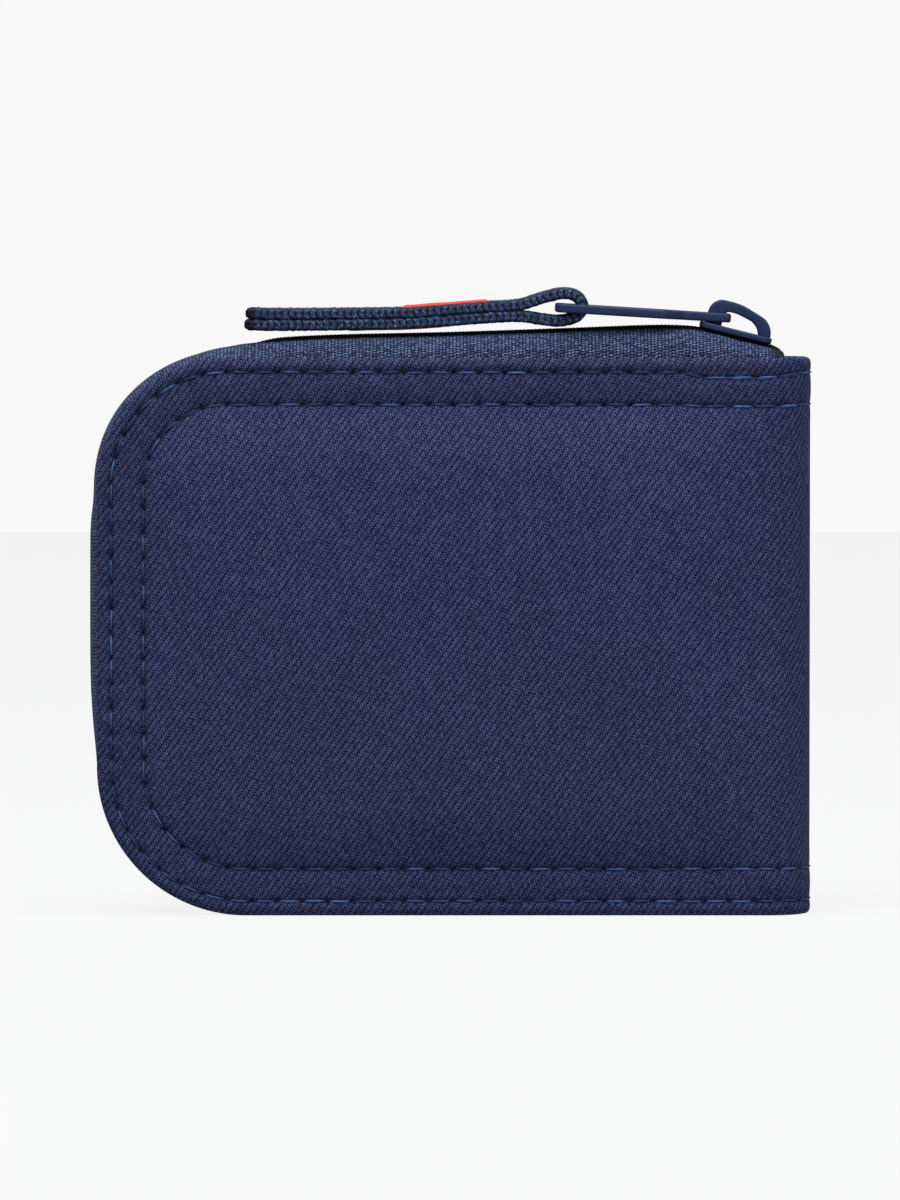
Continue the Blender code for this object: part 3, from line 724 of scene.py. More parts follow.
def relief(inset, u, z, outer, inner):
    """Height of the cloth. outer and inner are (row inset, stitch phase) pairs."""
    height = 0.20 * hump(inset, 1.35, 0.75)
    height = height + 0.20 * hump(inset, (outer[0] + inner[0]) / 2, 1.7)
    for (row, phase), deep, wide in ((outer, 0.34, 0.40), (inner, 0.40, 0.46)):
        off = np.abs(inset - row)
        hole = np.abs(phase - np.round(phase)) * PITCH
        sewn = 0.72 + 0.28 * np.cos(math.tau * phase)
        height = height - deep * sewn * hump(off, 0, wide)
        height = height - 0.32 * pierced(phase) * hump(off, 0, 0.40) * hump(hole, 0, 0.42)
        height = height + 0.05 * np.cos(math.tau * (phase + 0.5)) * np.exp(-off / 1.1)
    height = height + 0.035 * ripples(u, z) * smooth(0.6, 1.6, inset) * (1 - smooth(9, 14, inset))
    return height * (1 - 0.6 * smooth(50, 60, u)) + padding(inset, u, z)


def shade_of(inset, u, z, outer, inner):
    """How bright the cloth's colour is: a darker border, painted shade along each row's groove and painted
    shade in the needle holes.
    """
    shade = 0.86 + 0.14 * smooth(INNER_ROW - 0.3, INNER_ROW + 2.5, inset)
    for row, phase in (outer, inner):
        off = np.abs(inset - row)
        hole = np.abs(phase - np.round(phase)) * PITCH
        # Painted shade along the groove each row sinks into.
        shade = shade * (1 - 0.22 * hump(off, 0, 0.35))
        # Painted shade in the needle holes.
        dark = hump(off, 0, HOLE_REACH) * hump(hole, 0, HOLE_REACH)
        shade = shade * (1 - 0.95 * pierced(phase) ** 0.6 * dark)
    return shade


OUTLINE = Outline(PITCH / COLUMNS_PER_STITCH)
TOP_DIP = (OUTLINE.z > TOP - 1) * (smooth(37, 41, OUTLINE.u) - smooth(50, 60, OUTLINE.u))
OUTER = Row(OUTLINE, OUTER_ROW, OUTER_DIP * TOP_DIP)
INNER = Row(OUTLINE, INNER_ROW, INNER_DIP * TOP_DIP)


def band_insets():
    """Insets of the band's rows on the outer face, closer together along the stitches."""
    insets = [HEM_RADIUS + 0.15]
    while insets[-1] < BAND_WIDTH:
        near = min(abs(insets[-1] - OUTER_ROW - 0.3), abs(insets[-1] - INNER_ROW))
        insets.append(insets[-1] + (FINE_STEP if near < SEAM_REACH else BAND_STEP))
    return insets


def filled(loop, inner_points):
    """Triangles that fill a loop of (u, z) points, using the inner points as well."""
    count = len(loop)
    points = [Vector(point) for point in np.concatenate([loop, inner_points])]
    edges = [(index, (index + 1) % count) for index in range(count)]
    made = delaunay_2d_cdt(points, edges, [], 1, 1e-5)
    origin = [sources[0] for sources in made[3]]
    return [tuple(origin[index] for index in face) for face in made[2]]


def centre_points(least_inset):
    across = np.arange(LEFT + 1, MID_SPINE - CENTRE_STEP / 2, CENTRE_STEP)
    upwards = np.arange(1, TOP - 0.5, CENTRE_STEP)
    u, z = (grid.ravel() for grid in np.meshgrid(across, upwards))
    keep = inset_of(u, z) > least_inset
    return u[keep], z[keep]


def cut_points(margin):
    """Points up the cut at the middle of the spine, between margins at its ends."""
    z = np.arange(margin + CENTRE_STEP, TOP - margin - 0.7, CENTRE_STEP)
    return np.full(len(z), MID_SPINE), z


def build_skin(name, side):
    """A cover's cloth from its turned edge to the middle of the spine, closed all round."""
    turn = np.radians(np.linspace(-90, 90, HEM_POINTS))
    hem_inset = HEM_RADIUS * (1 - np.cos(turn))
    hem_out = HEM_RADIUS * (np.sin(turn) - 1)
    flat_inset = np.array(band_insets())
    rows = len(hem_inset) + len(flat_inset)
    inset = np.concatenate([hem_inset, flat_inset])[:, None] + np.zeros(OUTLINE.count)
    u = OUTLINE.u + inset * OUTLINE.in_u
    z = OUTLINE.z + inset * OUTLINE.in_z
    outer = (OUTER.inset[None, :], OUTER.phase[None, :])
    inner = (INNER.inset[None, :], INNER.phase[None, :])
    out = relief(inset, u, z, outer, inner)
    settle = smooth(0, 1.2, inset)
    out[: len(hem_inset)] = hem_out[:, None] + (out * settle)[: len(hem_inset)]
    shade = shade_of(inset, u, z, outer, inner)

    parts = [(u.ravel(), z.ravel(), out.ravel(), shade.ravel())]
    for part_u, part_z in (cut_points(BAND_WIDTH), centre_points(inset[-1, 0] + 0.6)):
        part_inset = inset_of(part_u, part_z)
        part_out = relief(part_inset, part_u, part_z, NO_ROW, NO_ROW)
        part_shade = shade_of(part_inset, part_u, part_z, NO_ROW, NO_ROW)
        parts.append((part_u, part_z, part_out, part_shade))
    for part_u, part_z in (cut_points(HEM_RADIUS), centre_points(HEM_RADIUS + 1.0)):
        parts.append((part_u, part_z, np.full(len(part_u), -CLOTH), np.ones(len(part_u))))

    starts = np.cumsum([0] + [len(part[0]) for part in parts])
    all_u, all_z, all_out, all_shade = (np.concatenate(kind) for kind in zip(*parts))
    flat = np.stack([all_u, all_z], axis=1)
    columns = OUTLINE.count
    faces = grid_faces(rows, columns)
    last_row = np.arange((rows - 1) * columns, rows * columns)
    first_row = np.arange(columns)
    for edge_row, cut, after, end in ((last_row, *starts[1:4]), (first_row, *starts[3:6])):
        rim = np.concatenate([edge_row, np.arange(cut, after)])
        middle = np.arange(after, end)
        which = np.concatenate([rim, middle])
        faces += [tuple(int(which[index]) for index in face) for face in filled(flat[rim], flat[middle])]

    shape = Shape()
    shape.add(wrap(all_u, all_z, all_out, side), faces, shade=all_shade)
    weave_u = all_u if side == FRONT else 2 * MID_SPINE - all_u
    skin = shape.build(name, TWILL, SKIN_SHARP, {"weave": np.stack([weave_u, all_z], axis=1)})
    close_cut(skin)
    return skin


def close_cut(skin):
    """Closes the open end at the middle of the spine, where the two cloths meet."""
    body = bmesh.new()
    body.from_mesh(skin.data)
    rim = [edge for edge in body.edges if edge.is_boundary]
    bmesh.ops.holes_fill(body, edges=rim, sides=0)
    bmesh.ops.recalc_face_normals(body, faces=body.faces)
    body.to_mesh(skin.data)
    body.free()
    skin.data.set_sharp_from_angle(angle=math.radians(SKIN_SHARP))


# ------------------------------------------------------------------ stitches


def build_row(name, side, row, seed, doubled=()):
    """The threads of one row. doubled gives the (low, high) boxes of (u, z) that are sewn over twice."""
    draw = random.Random(seed)
    shape = Shape()
    other = INNER if row is OUTER else OUTER

    def add_stitch(first, last, shift, lift, tone):
        phase = np.linspace(first, last, STITCH_POINTS)

        def along(values):
            return np.interp(phase, row.phase, values)

        u, z, in_u, in_z = (along(getattr(OUTLINE, key)) for key in ("u", "z", "in_u", "in_z"))
        inset = along(row.inset)
        sway = shift[0] + (shift[1] - shift[0]) * np.linspace(0, 1, STITCH_POINTS)
        own = (inset, phase)
        beside = (along(other.inset), along(other.phase))
        pair = (own, beside) if row is OUTER else (beside, own)
        place_u = u + (inset + sway) * in_u
        place_z = z + (inset + sway) * in_z
        arch = np.sin(np.linspace(0.02, math.pi - 0.02, STITCH_POINTS)) ** 0.45
        lift = lift * (1 - 0.7 * smooth(BEND_START, SPINE_HIGH.x, u))
        out = relief(inset + sway, place_u, place_z, *pair) - 0.50 + (0.50 + lift) * arch
        path = wrap(place_u, place_z, out, side)
        normals = wrap(place_u, place_z, out + 1, side) - path
        size = THREAD_RADIUS * (0.75 + 0.25 * arch)
        radii = np.stack([size, size * 0.9], axis=1)
        tones = np.full(STITCH_POINTS, tone)
        shape.add_tube(path, radii, normals, 8, twist=math.tau * 1.6, lobes=0.16, tone=tones)

    for number in range(row.count):
        shift = (draw.uniform(-0.07, 0.07), draw.uniform(-0.07, 0.07))
        tone = draw.random() ** 2
        add_stitch(number + 0.05, number + 0.95, shift, draw.uniform(0.10, 0.24), tone)
    for first, last in doubled:
        for number in range(row.count):
            middle = np.interp(number + 0.5, row.phase, OUTLINE.u)
            at_z = np.interp(number + 0.5, row.phase, OUTLINE.z)
            if first[0] < middle < last[0] and first[1] < at_z < last[1]:
                shift = (draw.uniform(0.05, 0.5), draw.uniform(-0.4, 0.1))
                lift = draw.uniform(0.04, 0.16)
                add_stitch(number + 0.45, number + 1.2, shift, lift, 0.6 * draw.random())
    return shape.build(name, THREAD)


# Where a row is sewn over twice, as (low, high) corners in (u, z)
TOP_OVERLAP = ((40, 80), (60, 100))
LOW_OVERLAP = ((30, -10), (50, 10))


def build_covers():
    for side, cover in ((FRONT, "front"), (BACK, "back")):
        skin = build_skin(f"{cover}_cloth", side)
        nodes = [f"{cover}_outer_panel"] + (["spine_outer_strip"] if side == FRONT else [])
        bend_on(skin, side, "twill", *nodes)
        outer = build_row(f"{cover}_outer_stitches", side, OUTER, 21 + side, (TOP_OVERLAP,))
        bend_on(outer, side, "twill")
        inner = build_row(f"{cover}_inner_stitches", side, INNER, 31 + side, (TOP_OVERLAP, LOW_OVERLAP))
        bend_on(inner, side, "twill")


# ------------------------------------------------------------------ zip


def spline(points, count_each=12):
    """A smooth line through the points (Catmull-Rom)."""
    points = np.asarray(points, float)
    padded = np.concatenate([[2 * points[0] - points[1]], points, [2 * points[-1] - points[-2]]])
    made = []
    for index in range(1, len(padded) - 2):
        before, here, after, beyond = padded[index - 1 : index + 3]
        for part in np.arange(count_each) / count_each:
            cubic = (-before + 3 * here - 3 * after + beyond) * part**3
            square = (2 * before - 5 * here + 4 * after - beyond) * part**2
            made.append(0.5 * (cubic + square + (after - before) * part + 2 * here))
    made.append(points[-1])
    return np.array(made)


def zip_proud(outline):
    """How far the closed zip's crest stands above the cover's edge."""
    crest = spline(CREST)
    top = np.interp(outline.u, crest[:, 0], crest[:, 1]) - TOP
    edge = spline(EDGE_PROUD)
    along = outline.length(0.0)
    corner_start = along[np.argmin(np.hypot(outline.u - LEFT - TOP_CORNER, outline.z - TOP))]
    past = np.interp(along - corner_start, edge[:, 0], edge[:, 1])
    return np.where(along < corner_start, top, past)


TAPE_LINE = Outline(0.8, start=ZIP_END, end=BEND_START)
TAPE_PROUD = zip_proud(TAPE_LINE)
# The coil shows between the tape's edges along the top, and is tucked in behind them elsewhere
COIL_SHOWS = smooth(-38, -27, TAPE_LINE.u) * (TAPE_LINE.z > TOP - 5)


def edge_points(outline, height, depth, side):
    """Points at a height outwards from the edge and a depth from the middle plane."""
    x = outline.u - height * outline.in_u
    z = outline.z - height * outline.in_z
    return np.stack([x, side * depth + 0 * outline.u, z], axis=-1)


def build_tape(name, side):
    """Half of the tape: sewn flat inside the cover, then arching over to the coil."""
    ends = smooth(49, ZIP_END, TAPE_LINE.u) * (TAPE_LINE.z > TOP - 1)
    margin_depth = TAPE_DEPTH - END_PINCH * ends
    rows = []
    for part in (0.0, 0.35, 0.7):
        height = -TAPE_MARGIN + (TAPE_MARGIN + TAPE_SEWN) * part
        rows.append((np.full(TAPE_LINE.count, height), margin_depth))
    for step in range(ARCH_STEPS + 1):
        turn = math.pi / 2 * step / ARCH_STEPS
        rise = TAPE_PROUD - COIL_HIGH * COIL_SHOWS - TAPE_SEWN
        height = TAPE_SEWN + rise * math.sin(turn) ** 0.9
        tape_edge = TUCKED_EDGE + (TAPE_EDGE - TUCKED_EDGE) * COIL_SHOWS
        depth = tape_edge + (margin_depth - tape_edge) * math.cos(turn)
        rows.append((height, depth))
    front = np.stack([edge_points(TAPE_LINE, height, depth, side) for height, depth in rows])
    across = np.gradient(front, axis=0)
    along = np.gradient(front, axis=1)
    normal = unit(np.cross(across, along))
    normal *= side * np.sign(np.mean(normal[OUTWARD_ROWS, :, 1]))
    back = front - normal * TAPE_THICKNESS
    along_edge = np.broadcast_to(TAPE_LINE.length(0.0), front.shape[:2])
    over = np.cumsum(np.linalg.norm(np.diff(front, axis=0, prepend=front[:1]), axis=2), axis=0)
    # Painted shadow over the tape's end by the spine, and painted shade on the arch's last rows where they
    # turn over to the coil.
    painted_end_shadow = 1 - 0.75 * smooth(50.5, 54.0, front[:, :, 0]) * (front[:, :, 2] > TOP - 3)
    rim = 1 - 0.5 * smooth(0.86, 1.0, np.linspace(0, 1, len(rows)))[:, None]
    shape = Shape()
    shape.add_slab(front, back, shade=painted_end_shadow * rim)
    return shape.build(name, TAPE, CLOTH_SHARP, both_faces(along_edge, over))


def build_coil(name, side):
    """Half of the coil: a flattened helix along the tape's inner edge."""
    track = TAPE_LINE.length(0.0)
    turns = int(track[-1] / COIL_PITCH)
    s = np.linspace(1.0, track[-1] - 1.0, turns * COIL_TURN_POINTS)
    tucked = COIL_HIDDEN * (1 - np.interp(s, track, COIL_SHOWS))
    height = np.interp(s, track, TAPE_PROUD) - COIL_HIGH - COIL_WIRE - tucked
    u, z, in_u, in_z = (np.interp(s, track, getattr(TAPE_LINE, key)) for key in ("u", "z", "in_u", "in_z"))
    angle = math.tau * np.arange(len(s)) / COIL_TURN_POINTS + (0 if side == FRONT else math.pi)
    reach = height + COIL_HIGH * np.sin(angle)
    depth = side * (COIL_OFFSET + COIL_WIDE * np.cos(angle))
    path = np.stack([u - reach * in_u, depth, z - reach * in_z], axis=-1)
    normals = np.stack([-in_u * np.sin(angle), side * np.cos(angle), -in_z * np.sin(angle)], axis=-1)
    shape = Shape()
    shape.add_tube(path, (COIL_WIRE, COIL_WIRE), normals, 5)
    return shape.build(name, COIL)


def build_zip():
    for side, cover in ((FRONT, "front"), (BACK, "back")):
        body = f"{cover}_cover"
        place_on(build_tape(f"{cover}_tape", side), body, "zip_tape", f"{cover}_zip_tape")
        place_on(build_coil(f"{cover}_coil", side), body, "zip_coil", f"{cover}_zip_coil")


# ------------------------------------------------------------------ flat metal pieces


def rounded_outline(corners, step=0.25):
    """Points around a polygon given as (x, y, radius) corners, with an arc at each radius."""
    points = []
    for index, (x, y, radius) in enumerate(corners):
        corner = Vector((x, y))
        if not radius:
            points.append(corner)
            continue
        back = (Vector(corners[index - 1][:2]) - corner).normalized()
        ahead = (Vector(corners[(index + 1) % len(corners)][:2]) - corner).normalized()
        half = back.angle(ahead) / 2
        centre = corner + (back + ahead).normalized() * radius / math.sin(half)
        reach = radius / math.tan(half)
        start = (corner + back * reach - centre).normalized()
        end = (corner + ahead * reach - centre).normalized()
        steps = max(round(radius * start.angle(end) / step), 3)
        points += [centre + start.slerp(end, number / steps) * radius for number in range(steps + 1)]
    return points


def shrunk(outline, distance):
    """The outline moved into the material, which lies on its left, by distance."""
    ahead = unit(np.roll(outline, -1, axis=0) - outline)
    normal = np.stack([-ahead[:, 1], ahead[:, 0]], axis=1)
    middle = unit(normal + np.roll(normal, 1, axis=0))
    reach = distance / np.maximum(np.sum(middle * normal, axis=1), 0.5)
    return outline + middle * reach[:, None]


def turned(outline, anticlockwise):
    """The outline as an array without doubled points, going round the way asked."""
    points = np.array([tuple(point) for point in outline])
    points = points[np.linalg.norm(points - np.roll(points, 1, axis=0), axis=1) > 0.01]
    after = np.roll(points, -1, axis=0)
    area = np.sum(points[:, 0] * after[:, 1] - points[:, 1] * after[:, 0])
    return points if (area > 0) == anticlockwise else points[::-1]


def plate(name, outlines, thickness, edge, material, matrix):
    """A plate with rounded edges from outlines in its own XY plane; those after the first are holes."""
    shape = Shape()
    turn = np.radians(np.linspace(0, 90, 5))
    half = thickness / 2
    rings = [(edge * (1 - math.sin(angle)), -half + edge * (1 - math.cos(angle))) for angle in turn]
    rings += [(inset, -height) for inset, height in reversed(rings)]
    flat, edges, low_index, high_index = [], [], [], []
    for number, outline in enumerate(outlines):
        outline = turned(outline, number == 0)
        count = len(outline)
        base = len(shape.points)
        points = [
            np.column_stack([shrunk(outline, inset), np.full(count, height)]) for inset, height in rings
        ]
        shape.add(np.concatenate(points), grid_faces(len(rings), count, around=True))
        edges += [(len(flat) + index, len(flat) + (index + 1) % count) for index in range(count)]
        flat += [Vector(point) for point in shrunk(outline, edge)]
        low_index += range(base, base + count)
        high_index += range(base + (len(rings) - 1) * count, base + len(rings) * count)
    made = delaunay_2d_cdt(flat, edges, [], 4, 1e-6)
    for face in made[2]:
        corners = [made[3][index][0] for index in face]
        shape.faces.append(tuple(low_index[index] for index in reversed(corners)))
        shape.faces.append(tuple(high_index[index] for index in corners))
    obj = shape.build(name, material, PLATE_SHARP)
    moved = Matrix.Scale(MM, 4) @ matrix @ Matrix.Scale(1 / MM, 4)
    obj.data.transform(moved)
    return obj


def joined(name, pieces):
    """One piece made of several meshes."""
    body = bmesh.new()
    for piece in pieces:
        body.from_mesh(piece.data)
    mesh = bpy.data.meshes.new(name)
    body.to_mesh(mesh)
    body.free()
    mesh.materials.append(pieces[0].data.materials[0])
    mesh.set_sharp_from_angle(angle=math.radians(PLATE_SHARP))
    for piece in pieces:
        bpy.data.objects.remove(piece)
    obj = bpy.data.objects.new(name, mesh)
    bpy.context.scene.collection.objects.link(obj)
    return obj


def four_corners(right, right_half, right_radius, left, left_half, left_radius):
    """A rounded four-sided outline, the same above and below its middle line."""
    corners = [(right, -right_half, right_radius), (right, right_half, right_radius)]
    corners += [(left, left_half, left_radius), (left, -left_half, left_radius)]
    return rounded_outline(corners)


UPRIGHT = Matrix.Rotation(math.pi / 2, 4, "X")


def upright(x, z, tilt=0.0):
    """Plate axes standing in the XZ plane: its x along X turned down by tilt, its y up."""
    return Matrix.Translation((x, 0.0, z)) @ Matrix.Rotation(tilt, 4, "Y") @ UPRIGHT


def lying(x, z, tilt=0.0):
    """Plate axes lying in the XY plane, turned down by tilt."""
    return Matrix.Translation((x, 0.0, z)) @ Matrix.Rotation(tilt, 4, "Y")


SLIDER_TILT = math.radians(14.0)
SLIDER_PLATE = 1.0
SLIDER_TOP = (46.3, 94.3)
LOWER_PLATE = 0.8
LOWER_MIDDLE = -4.3
WEDGE_HIGH = 3.6
WEDGE_MIDDLE = -2.45
BRIDGE_THICK = 2.5


def build_slider():
    """Upper and lower plates, the wedge between them and the bridge for the puller."""
    sine, cosine = math.sin(SLIDER_TILT), math.cos(SLIDER_TILT)

    def frame_at(height):
        return lying(SLIDER_TOP[0] + height * sine, SLIDER_TOP[1] + height * cosine, SLIDER_TILT)

    upper_outline = rounded_outline(
        [
            (5.95, -3.6, 1.6),
            (5.95, 3.6, 1.6),
            (1.5, 4.1, 3.0),
            (-5.95, 3.0, 1.4),
            (-5.95, -3.0, 1.4),
            (1.5, -4.1, 3.0),
        ]
    )
    lower_outline = four_corners(4.6, 2.8, 1.2, -4.6, 2.3, 1.0)
    wedge_outline = four_corners(4.4, 0.9, 0.4, 1.2, 0.25, 0.2)
    upper = plate("upper", [upper_outline], SLIDER_PLATE, 0.28, METAL, frame_at(-SLIDER_PLATE / 2))
    lower = plate("lower", [lower_outline], LOWER_PLATE, 0.2, METAL, frame_at(LOWER_MIDDLE))
    wedge = plate("wedge", [wedge_outline], WEDGE_HIGH, 0.1, METAL, frame_at(WEDGE_MIDDLE))
    body = joined("slider_plates", [upper, lower, wedge])
    place_on(body, "zip_slider", "painted_metal", "zip_slider_body")

    bridge = rounded_outline(
        [
            (-5.35, -0.35, 0.0),
            (-4.85, 4.2, 2.3),
            (-0.2, 4.2, 9.0),
            (4.35, 2.75, 3.0),
            (5.6, 1.2, 3.0),
            (5.65, -0.35, 0.0),
            (3.8, -0.35, 0.0),
            (3.2, 1.0, 1.2),
            (2.2, 1.85, 2.0),
            (-0.6, 2.5, 5.0),
            (-2.35, 2.45, 0.7),
            (-2.55, -0.35, 0.0),
        ]
    )
    bail = plate("slider_bridge", [bridge], BRIDGE_THICK, 0.35, METAL, upright(*SLIDER_TOP, SLIDER_TILT))
    place_on(bail, "zip_slider", "painted_metal", "slider_bail")


PULLER_LEFT = (17.7, 97.85)
PULLER_RIGHT = (45.4, 96.15)
PULLER_THICK = 1.45


def build_puller():
    """A flat link with a hole for the slider's bridge and a slot for the webbing."""
    length = math.dist(PULLER_LEFT, PULLER_RIGHT)
    tilt = math.atan2(PULLER_LEFT[1] - PULLER_RIGHT[1], PULLER_RIGHT[0] - PULLER_LEFT[0])
    outer = rounded_outline(
        [
            (0.0, -3.0, 1.1),
            (0.0, 3.0, 1.1),
            (-7.5, 3.0, 3.0),
            (-10.7, 6.2, 2.6),
            (-length - 0.7, 6.2, 1.6),
            (-length - 0.7, -6.2, 1.6),
            (-10.7, -6.2, 2.6),
            (-7.5, -3.0, 3.0),
        ]
    )
    hole = rounded_outline([(-1.3, 1.6, 0.5), (-1.3, -1.6, 0.5), (-5.8, -1.6, 0.9), (-5.8, 1.6, 0.9)])
    slot_left = -length + 0.75
    slot_right = slot_left + 4.6
    slot = rounded_outline(
        [
            (slot_right, 4.8, 0.6),
            (slot_right, -4.8, 0.6),
            (slot_left, -4.8, 0.5),
            (slot_left, 4.8, 0.5),
        ]
    )
    made = plate("puller_link", [outer, hole, slot], PULLER_THICK, 0.36, METAL, lying(*PULLER_RIGHT, tilt))
    place_on(made, "zip_puller", "painted_metal", "puller")


# ------------------------------------------------------------------ webbing tab

WEBBING_HALF = 4.25
WEBBING_THICK = 1.86
WEBBING_STEP = 0.2
WEBBING_CORNER = 0.62
WEBBING_POINTS = 92
SECTION_SQUARENESS = 6
# The signs of a square's corners, going round anticlockwise
SQUARE = ((1, 1), (-1, 1), (-1, -1), (1, -1))
PATCH_HALF = 3.5
PATCH_COLUMNS = 15
# The two patches' left and right ends
LOWER_PATCH = (-17.0, -0.5)
UPPER_PATCH = (-8.2, 6.6)
SEALED_END = 1.3
# The middle of the strap, from its lower end round the puller's bar to its upper end
STRAP = (
    (-33.2, 95.2),
    (-29.0, 95.07),
    (-20.0, 95.12),
    (-8.0, 95.32),
    (-1.5, 95.7),
    (5.0, 96.22),
    (11.0, 96.5),
    (14.5, 96.05),
    (17.5, 95.75),
    (20.2, 96.35),
    (21.4, 97.9),
    (20.6, 99.6),
    (18.4, 100.2),
    (15.2, 99.55),
    (11.0, 98.32),
    (5.0, 97.94),
    (-1.5, 97.43),
    (-8.0, 97.02),
    (-20.0, 96.87),
    (-29.0, 96.85),
    (-33.0, 97.0),
)
KNIT = 1.12
WALE = 1.02


def even_line(points, step):
    """A smooth line through the points, with points a step apart."""
    line = spline(points, 30)
    length = line_length(line)
    wanted = np.linspace(0, length[-1], round(length[-1] / step) + 1)
    return np.stack([np.interp(wanted, length, line[:, axis]) for axis in range(2)], axis=1), wanted


def strap_section(count):
    """Points around the strap's rounded-rectangle section and their distance around it."""
    high = WEBBING_THICK / 2
    corners = [(right * WEBBING_HALF, up * high, WEBBING_CORNER) for right, up in SQUARE]
    outline = rounded_outline(corners, 0.05)
    points = np.array([tuple(point) for point in outline])
    closed = np.concatenate([points, points[:1]])
    length = line_length(closed)
    wanted = np.arange(count) / count * length[-1]
    made = np.stack([np.interp(wanted, length, closed[:, axis]) for axis in range(2)], axis=1)
    return made, wanted


def build_webbing():
    """The knitted strap: rows of chevron loops along it, with holes along its edges whose darkness is
    painted shade, and painted highlights on the loops beside them.
    """
    line, s = even_line(STRAP, WEBBING_STEP)
    section, round_it = strap_section(WEBBING_POINTS)
    normal = side_normals(line)
    outward = section / np.array([WEBBING_HALF, WEBBING_THICK / 2])
    outward = unit(np.sign(outward) * np.abs(outward) ** SECTION_SQUARENESS)

    ss, cc = np.meshgrid(s, section[:, 0], indexing="ij")
    tt = np.broadcast_to(section[:, 1], ss.shape)
    edge = smooth(WEBBING_HALF - 0.9, WEBBING_HALF - 0.1, np.abs(cc))
    wale = cc / WALE
    inside = np.abs((wale + 0.5) % 1.0 - 0.5)
    flat_chevron = np.cos(math.tau * (ss / KNIT + 0.9 * inside + 0.37 * np.round(wale)))
    flat = 0.07 * flat_chevron - 0.14 * (1 - np.cos(math.tau * inside)) / 2
    lean = np.abs(tt) / WEBBING_THICK
    rough = waves(41, 16, 0.7, 3.0)(ss, round_it[None, :])
    side_chevron = np.cos(math.tau * (ss / KNIT + 0.75 * lean))
    strand = np.abs(((ss / KNIT + 0.75 * lean) + 0.5) % 1.0 - 0.5)
    hole = hump(strand, 0.5, 0.18) * hump(lean, 0.0, 0.15) * (0.75 + 0.25 * rough)
    sides = 0.03 * side_chevron - 0.3 * hole
    scallop = 0.08 * np.cos(math.tau * ss / (2 * KNIT)) * smooth(0.2, 0.5, lean)
    bump = flat * (1 - edge) + (sides + scallop) * edge + 0.035 * rough
    # Painted highlights on the V strands beside each hole, and painted shade in the holes.
    painted_vee_highlight = hump(strand, 0.2, 0.13) * (1 - smooth(0.28, 0.42, lean))
    side_shade = 0.44 + 0.08 * side_chevron + 0.62 * painted_vee_highlight + 0.16 * rough
    side_shade = side_shade * (1 - 0.97 * np.clip(hole * 1.25, 0, 1))
    # The flat faces: painted light and shade following the chevron loops' relief, darkest in the grooves
    # between the wales.
    flat_shade = (0.7 + 0.22 * flat_chevron + 0.08 * rough) * (1 - 0.5 * smooth(0.3, 0.5, inside))
    shade = np.clip(flat_shade + (side_shade - flat_shade) * edge, 0, 1)

    from_end = np.minimum(s, s[-1] - s)
    sealed = 0.45 + 0.55 * np.sqrt(1 - (1 - np.clip(from_end / SEALED_END, 0, 1)) ** 2)
    place = section[None, :, :] + outward[None, :, :] * bump[:, :, None]
    place = place * np.stack([0.92 + 0.08 * sealed, sealed], axis=1)[:, None, :]
    x = line[:, None, 0] + normal[:, None, 0] * place[:, :, 1]
    z = line[:, None, 1] + normal[:, None, 1] * place[:, :, 1]
    points = np.stack([x, place[:, :, 0], z], axis=-1)
    rings, count = points.shape[:2]
    faces = grid_faces(rings, count, around=True)
    base = (rings - 1) * count
    faces.append(tuple(reversed(range(count))))
    faces.append(tuple(range(base, base + count)))
    ends = 0.15 + 0.85 * smooth(0.3, 2.4, from_end)[:, None] * np.ones(ss.shape)
    shape = Shape()
    shape.add(points.reshape(-1, 3), faces, shade=(shade * ends).ravel())
    strap = shape.build("webbing_strap", WEBBING, WEBBING_SHARP)
    place_on(strap, "pull_tab", "webbing", "pull_tab_webbing")
    return line


def build_patch(name, node, chosen, face, proud):
    """A plain label lying on one face of the strap, along the chosen points of its middle line."""
    normal = side_normals(chosen)
    across = np.linspace(-PATCH_HALF, PATCH_HALF, PATCH_COLUMNS)
    swell = waves(61 + face, 8, 3.0, 9.0)
    along = np.linspace(0, 1, len(chosen))[:, None]
    rise = 0.05 * swell(along * 14, across[None, :])
    rim = np.minimum(smooth(0, 0.06, along), 1 - smooth(0.94, 1, along))
    rim = rim * (1 - smooth(PATCH_HALF - 0.6, PATCH_HALF, np.abs(across)))
    lift = WEBBING_THICK / 2 + 0.04 + (proud + rise) * rim
    x = chosen[:, :1] - normal[:, :1] * lift
    z = chosen[:, 1:] - normal[:, 1:] * lift
    top = np.stack([x, np.broadcast_to(across, x.shape), z], axis=-1)
    back = top.copy()
    back[:, :, 0] += normal[:, :1] * 0.2
    back[:, :, 2] += normal[:, 1:] * 0.2
    shape = Shape()
    shape.add_slab(top, back)
    place_on(shape.build(name, PATCH), "pull_tab", "red_patch", node)


def build_tab():
    line = build_webbing()
    half = len(line) // 2
    layers = (
        ("lower", LOWER_PATCH, range(half), -1, 0.06),
        ("upper", UPPER_PATCH, range(half, len(line)), 1, 0.24),
    )
    for name, (left, right), layer, face, proud in layers:
        under = [index for index in layer if left < line[index, 0] < right]
        build_patch(f"{name}_patch", f"tab_patch_{name}", line[under[0] : under[-1]], face, proud)


# ------------------------------------------------------------------ inside

# Stitches along a pocket's folded top edge
HEM_SEAM = 3.0
HEM_PITCH = 2.6
HEM_STITCH = 2.2
HEM_THREAD = 0.13
# The spine lining's depth below the outer face, and the cloth's thickness
SPINE_LINING_GAP = 1.75
SPINE_LINING_THICK = 0.45
COIN_COIL_PITCH = 0.8
COIN_COIL_POINTS = 10
COIN_COIL_WIRE = 0.17
COIN_COIL_DEPTH = 0.42


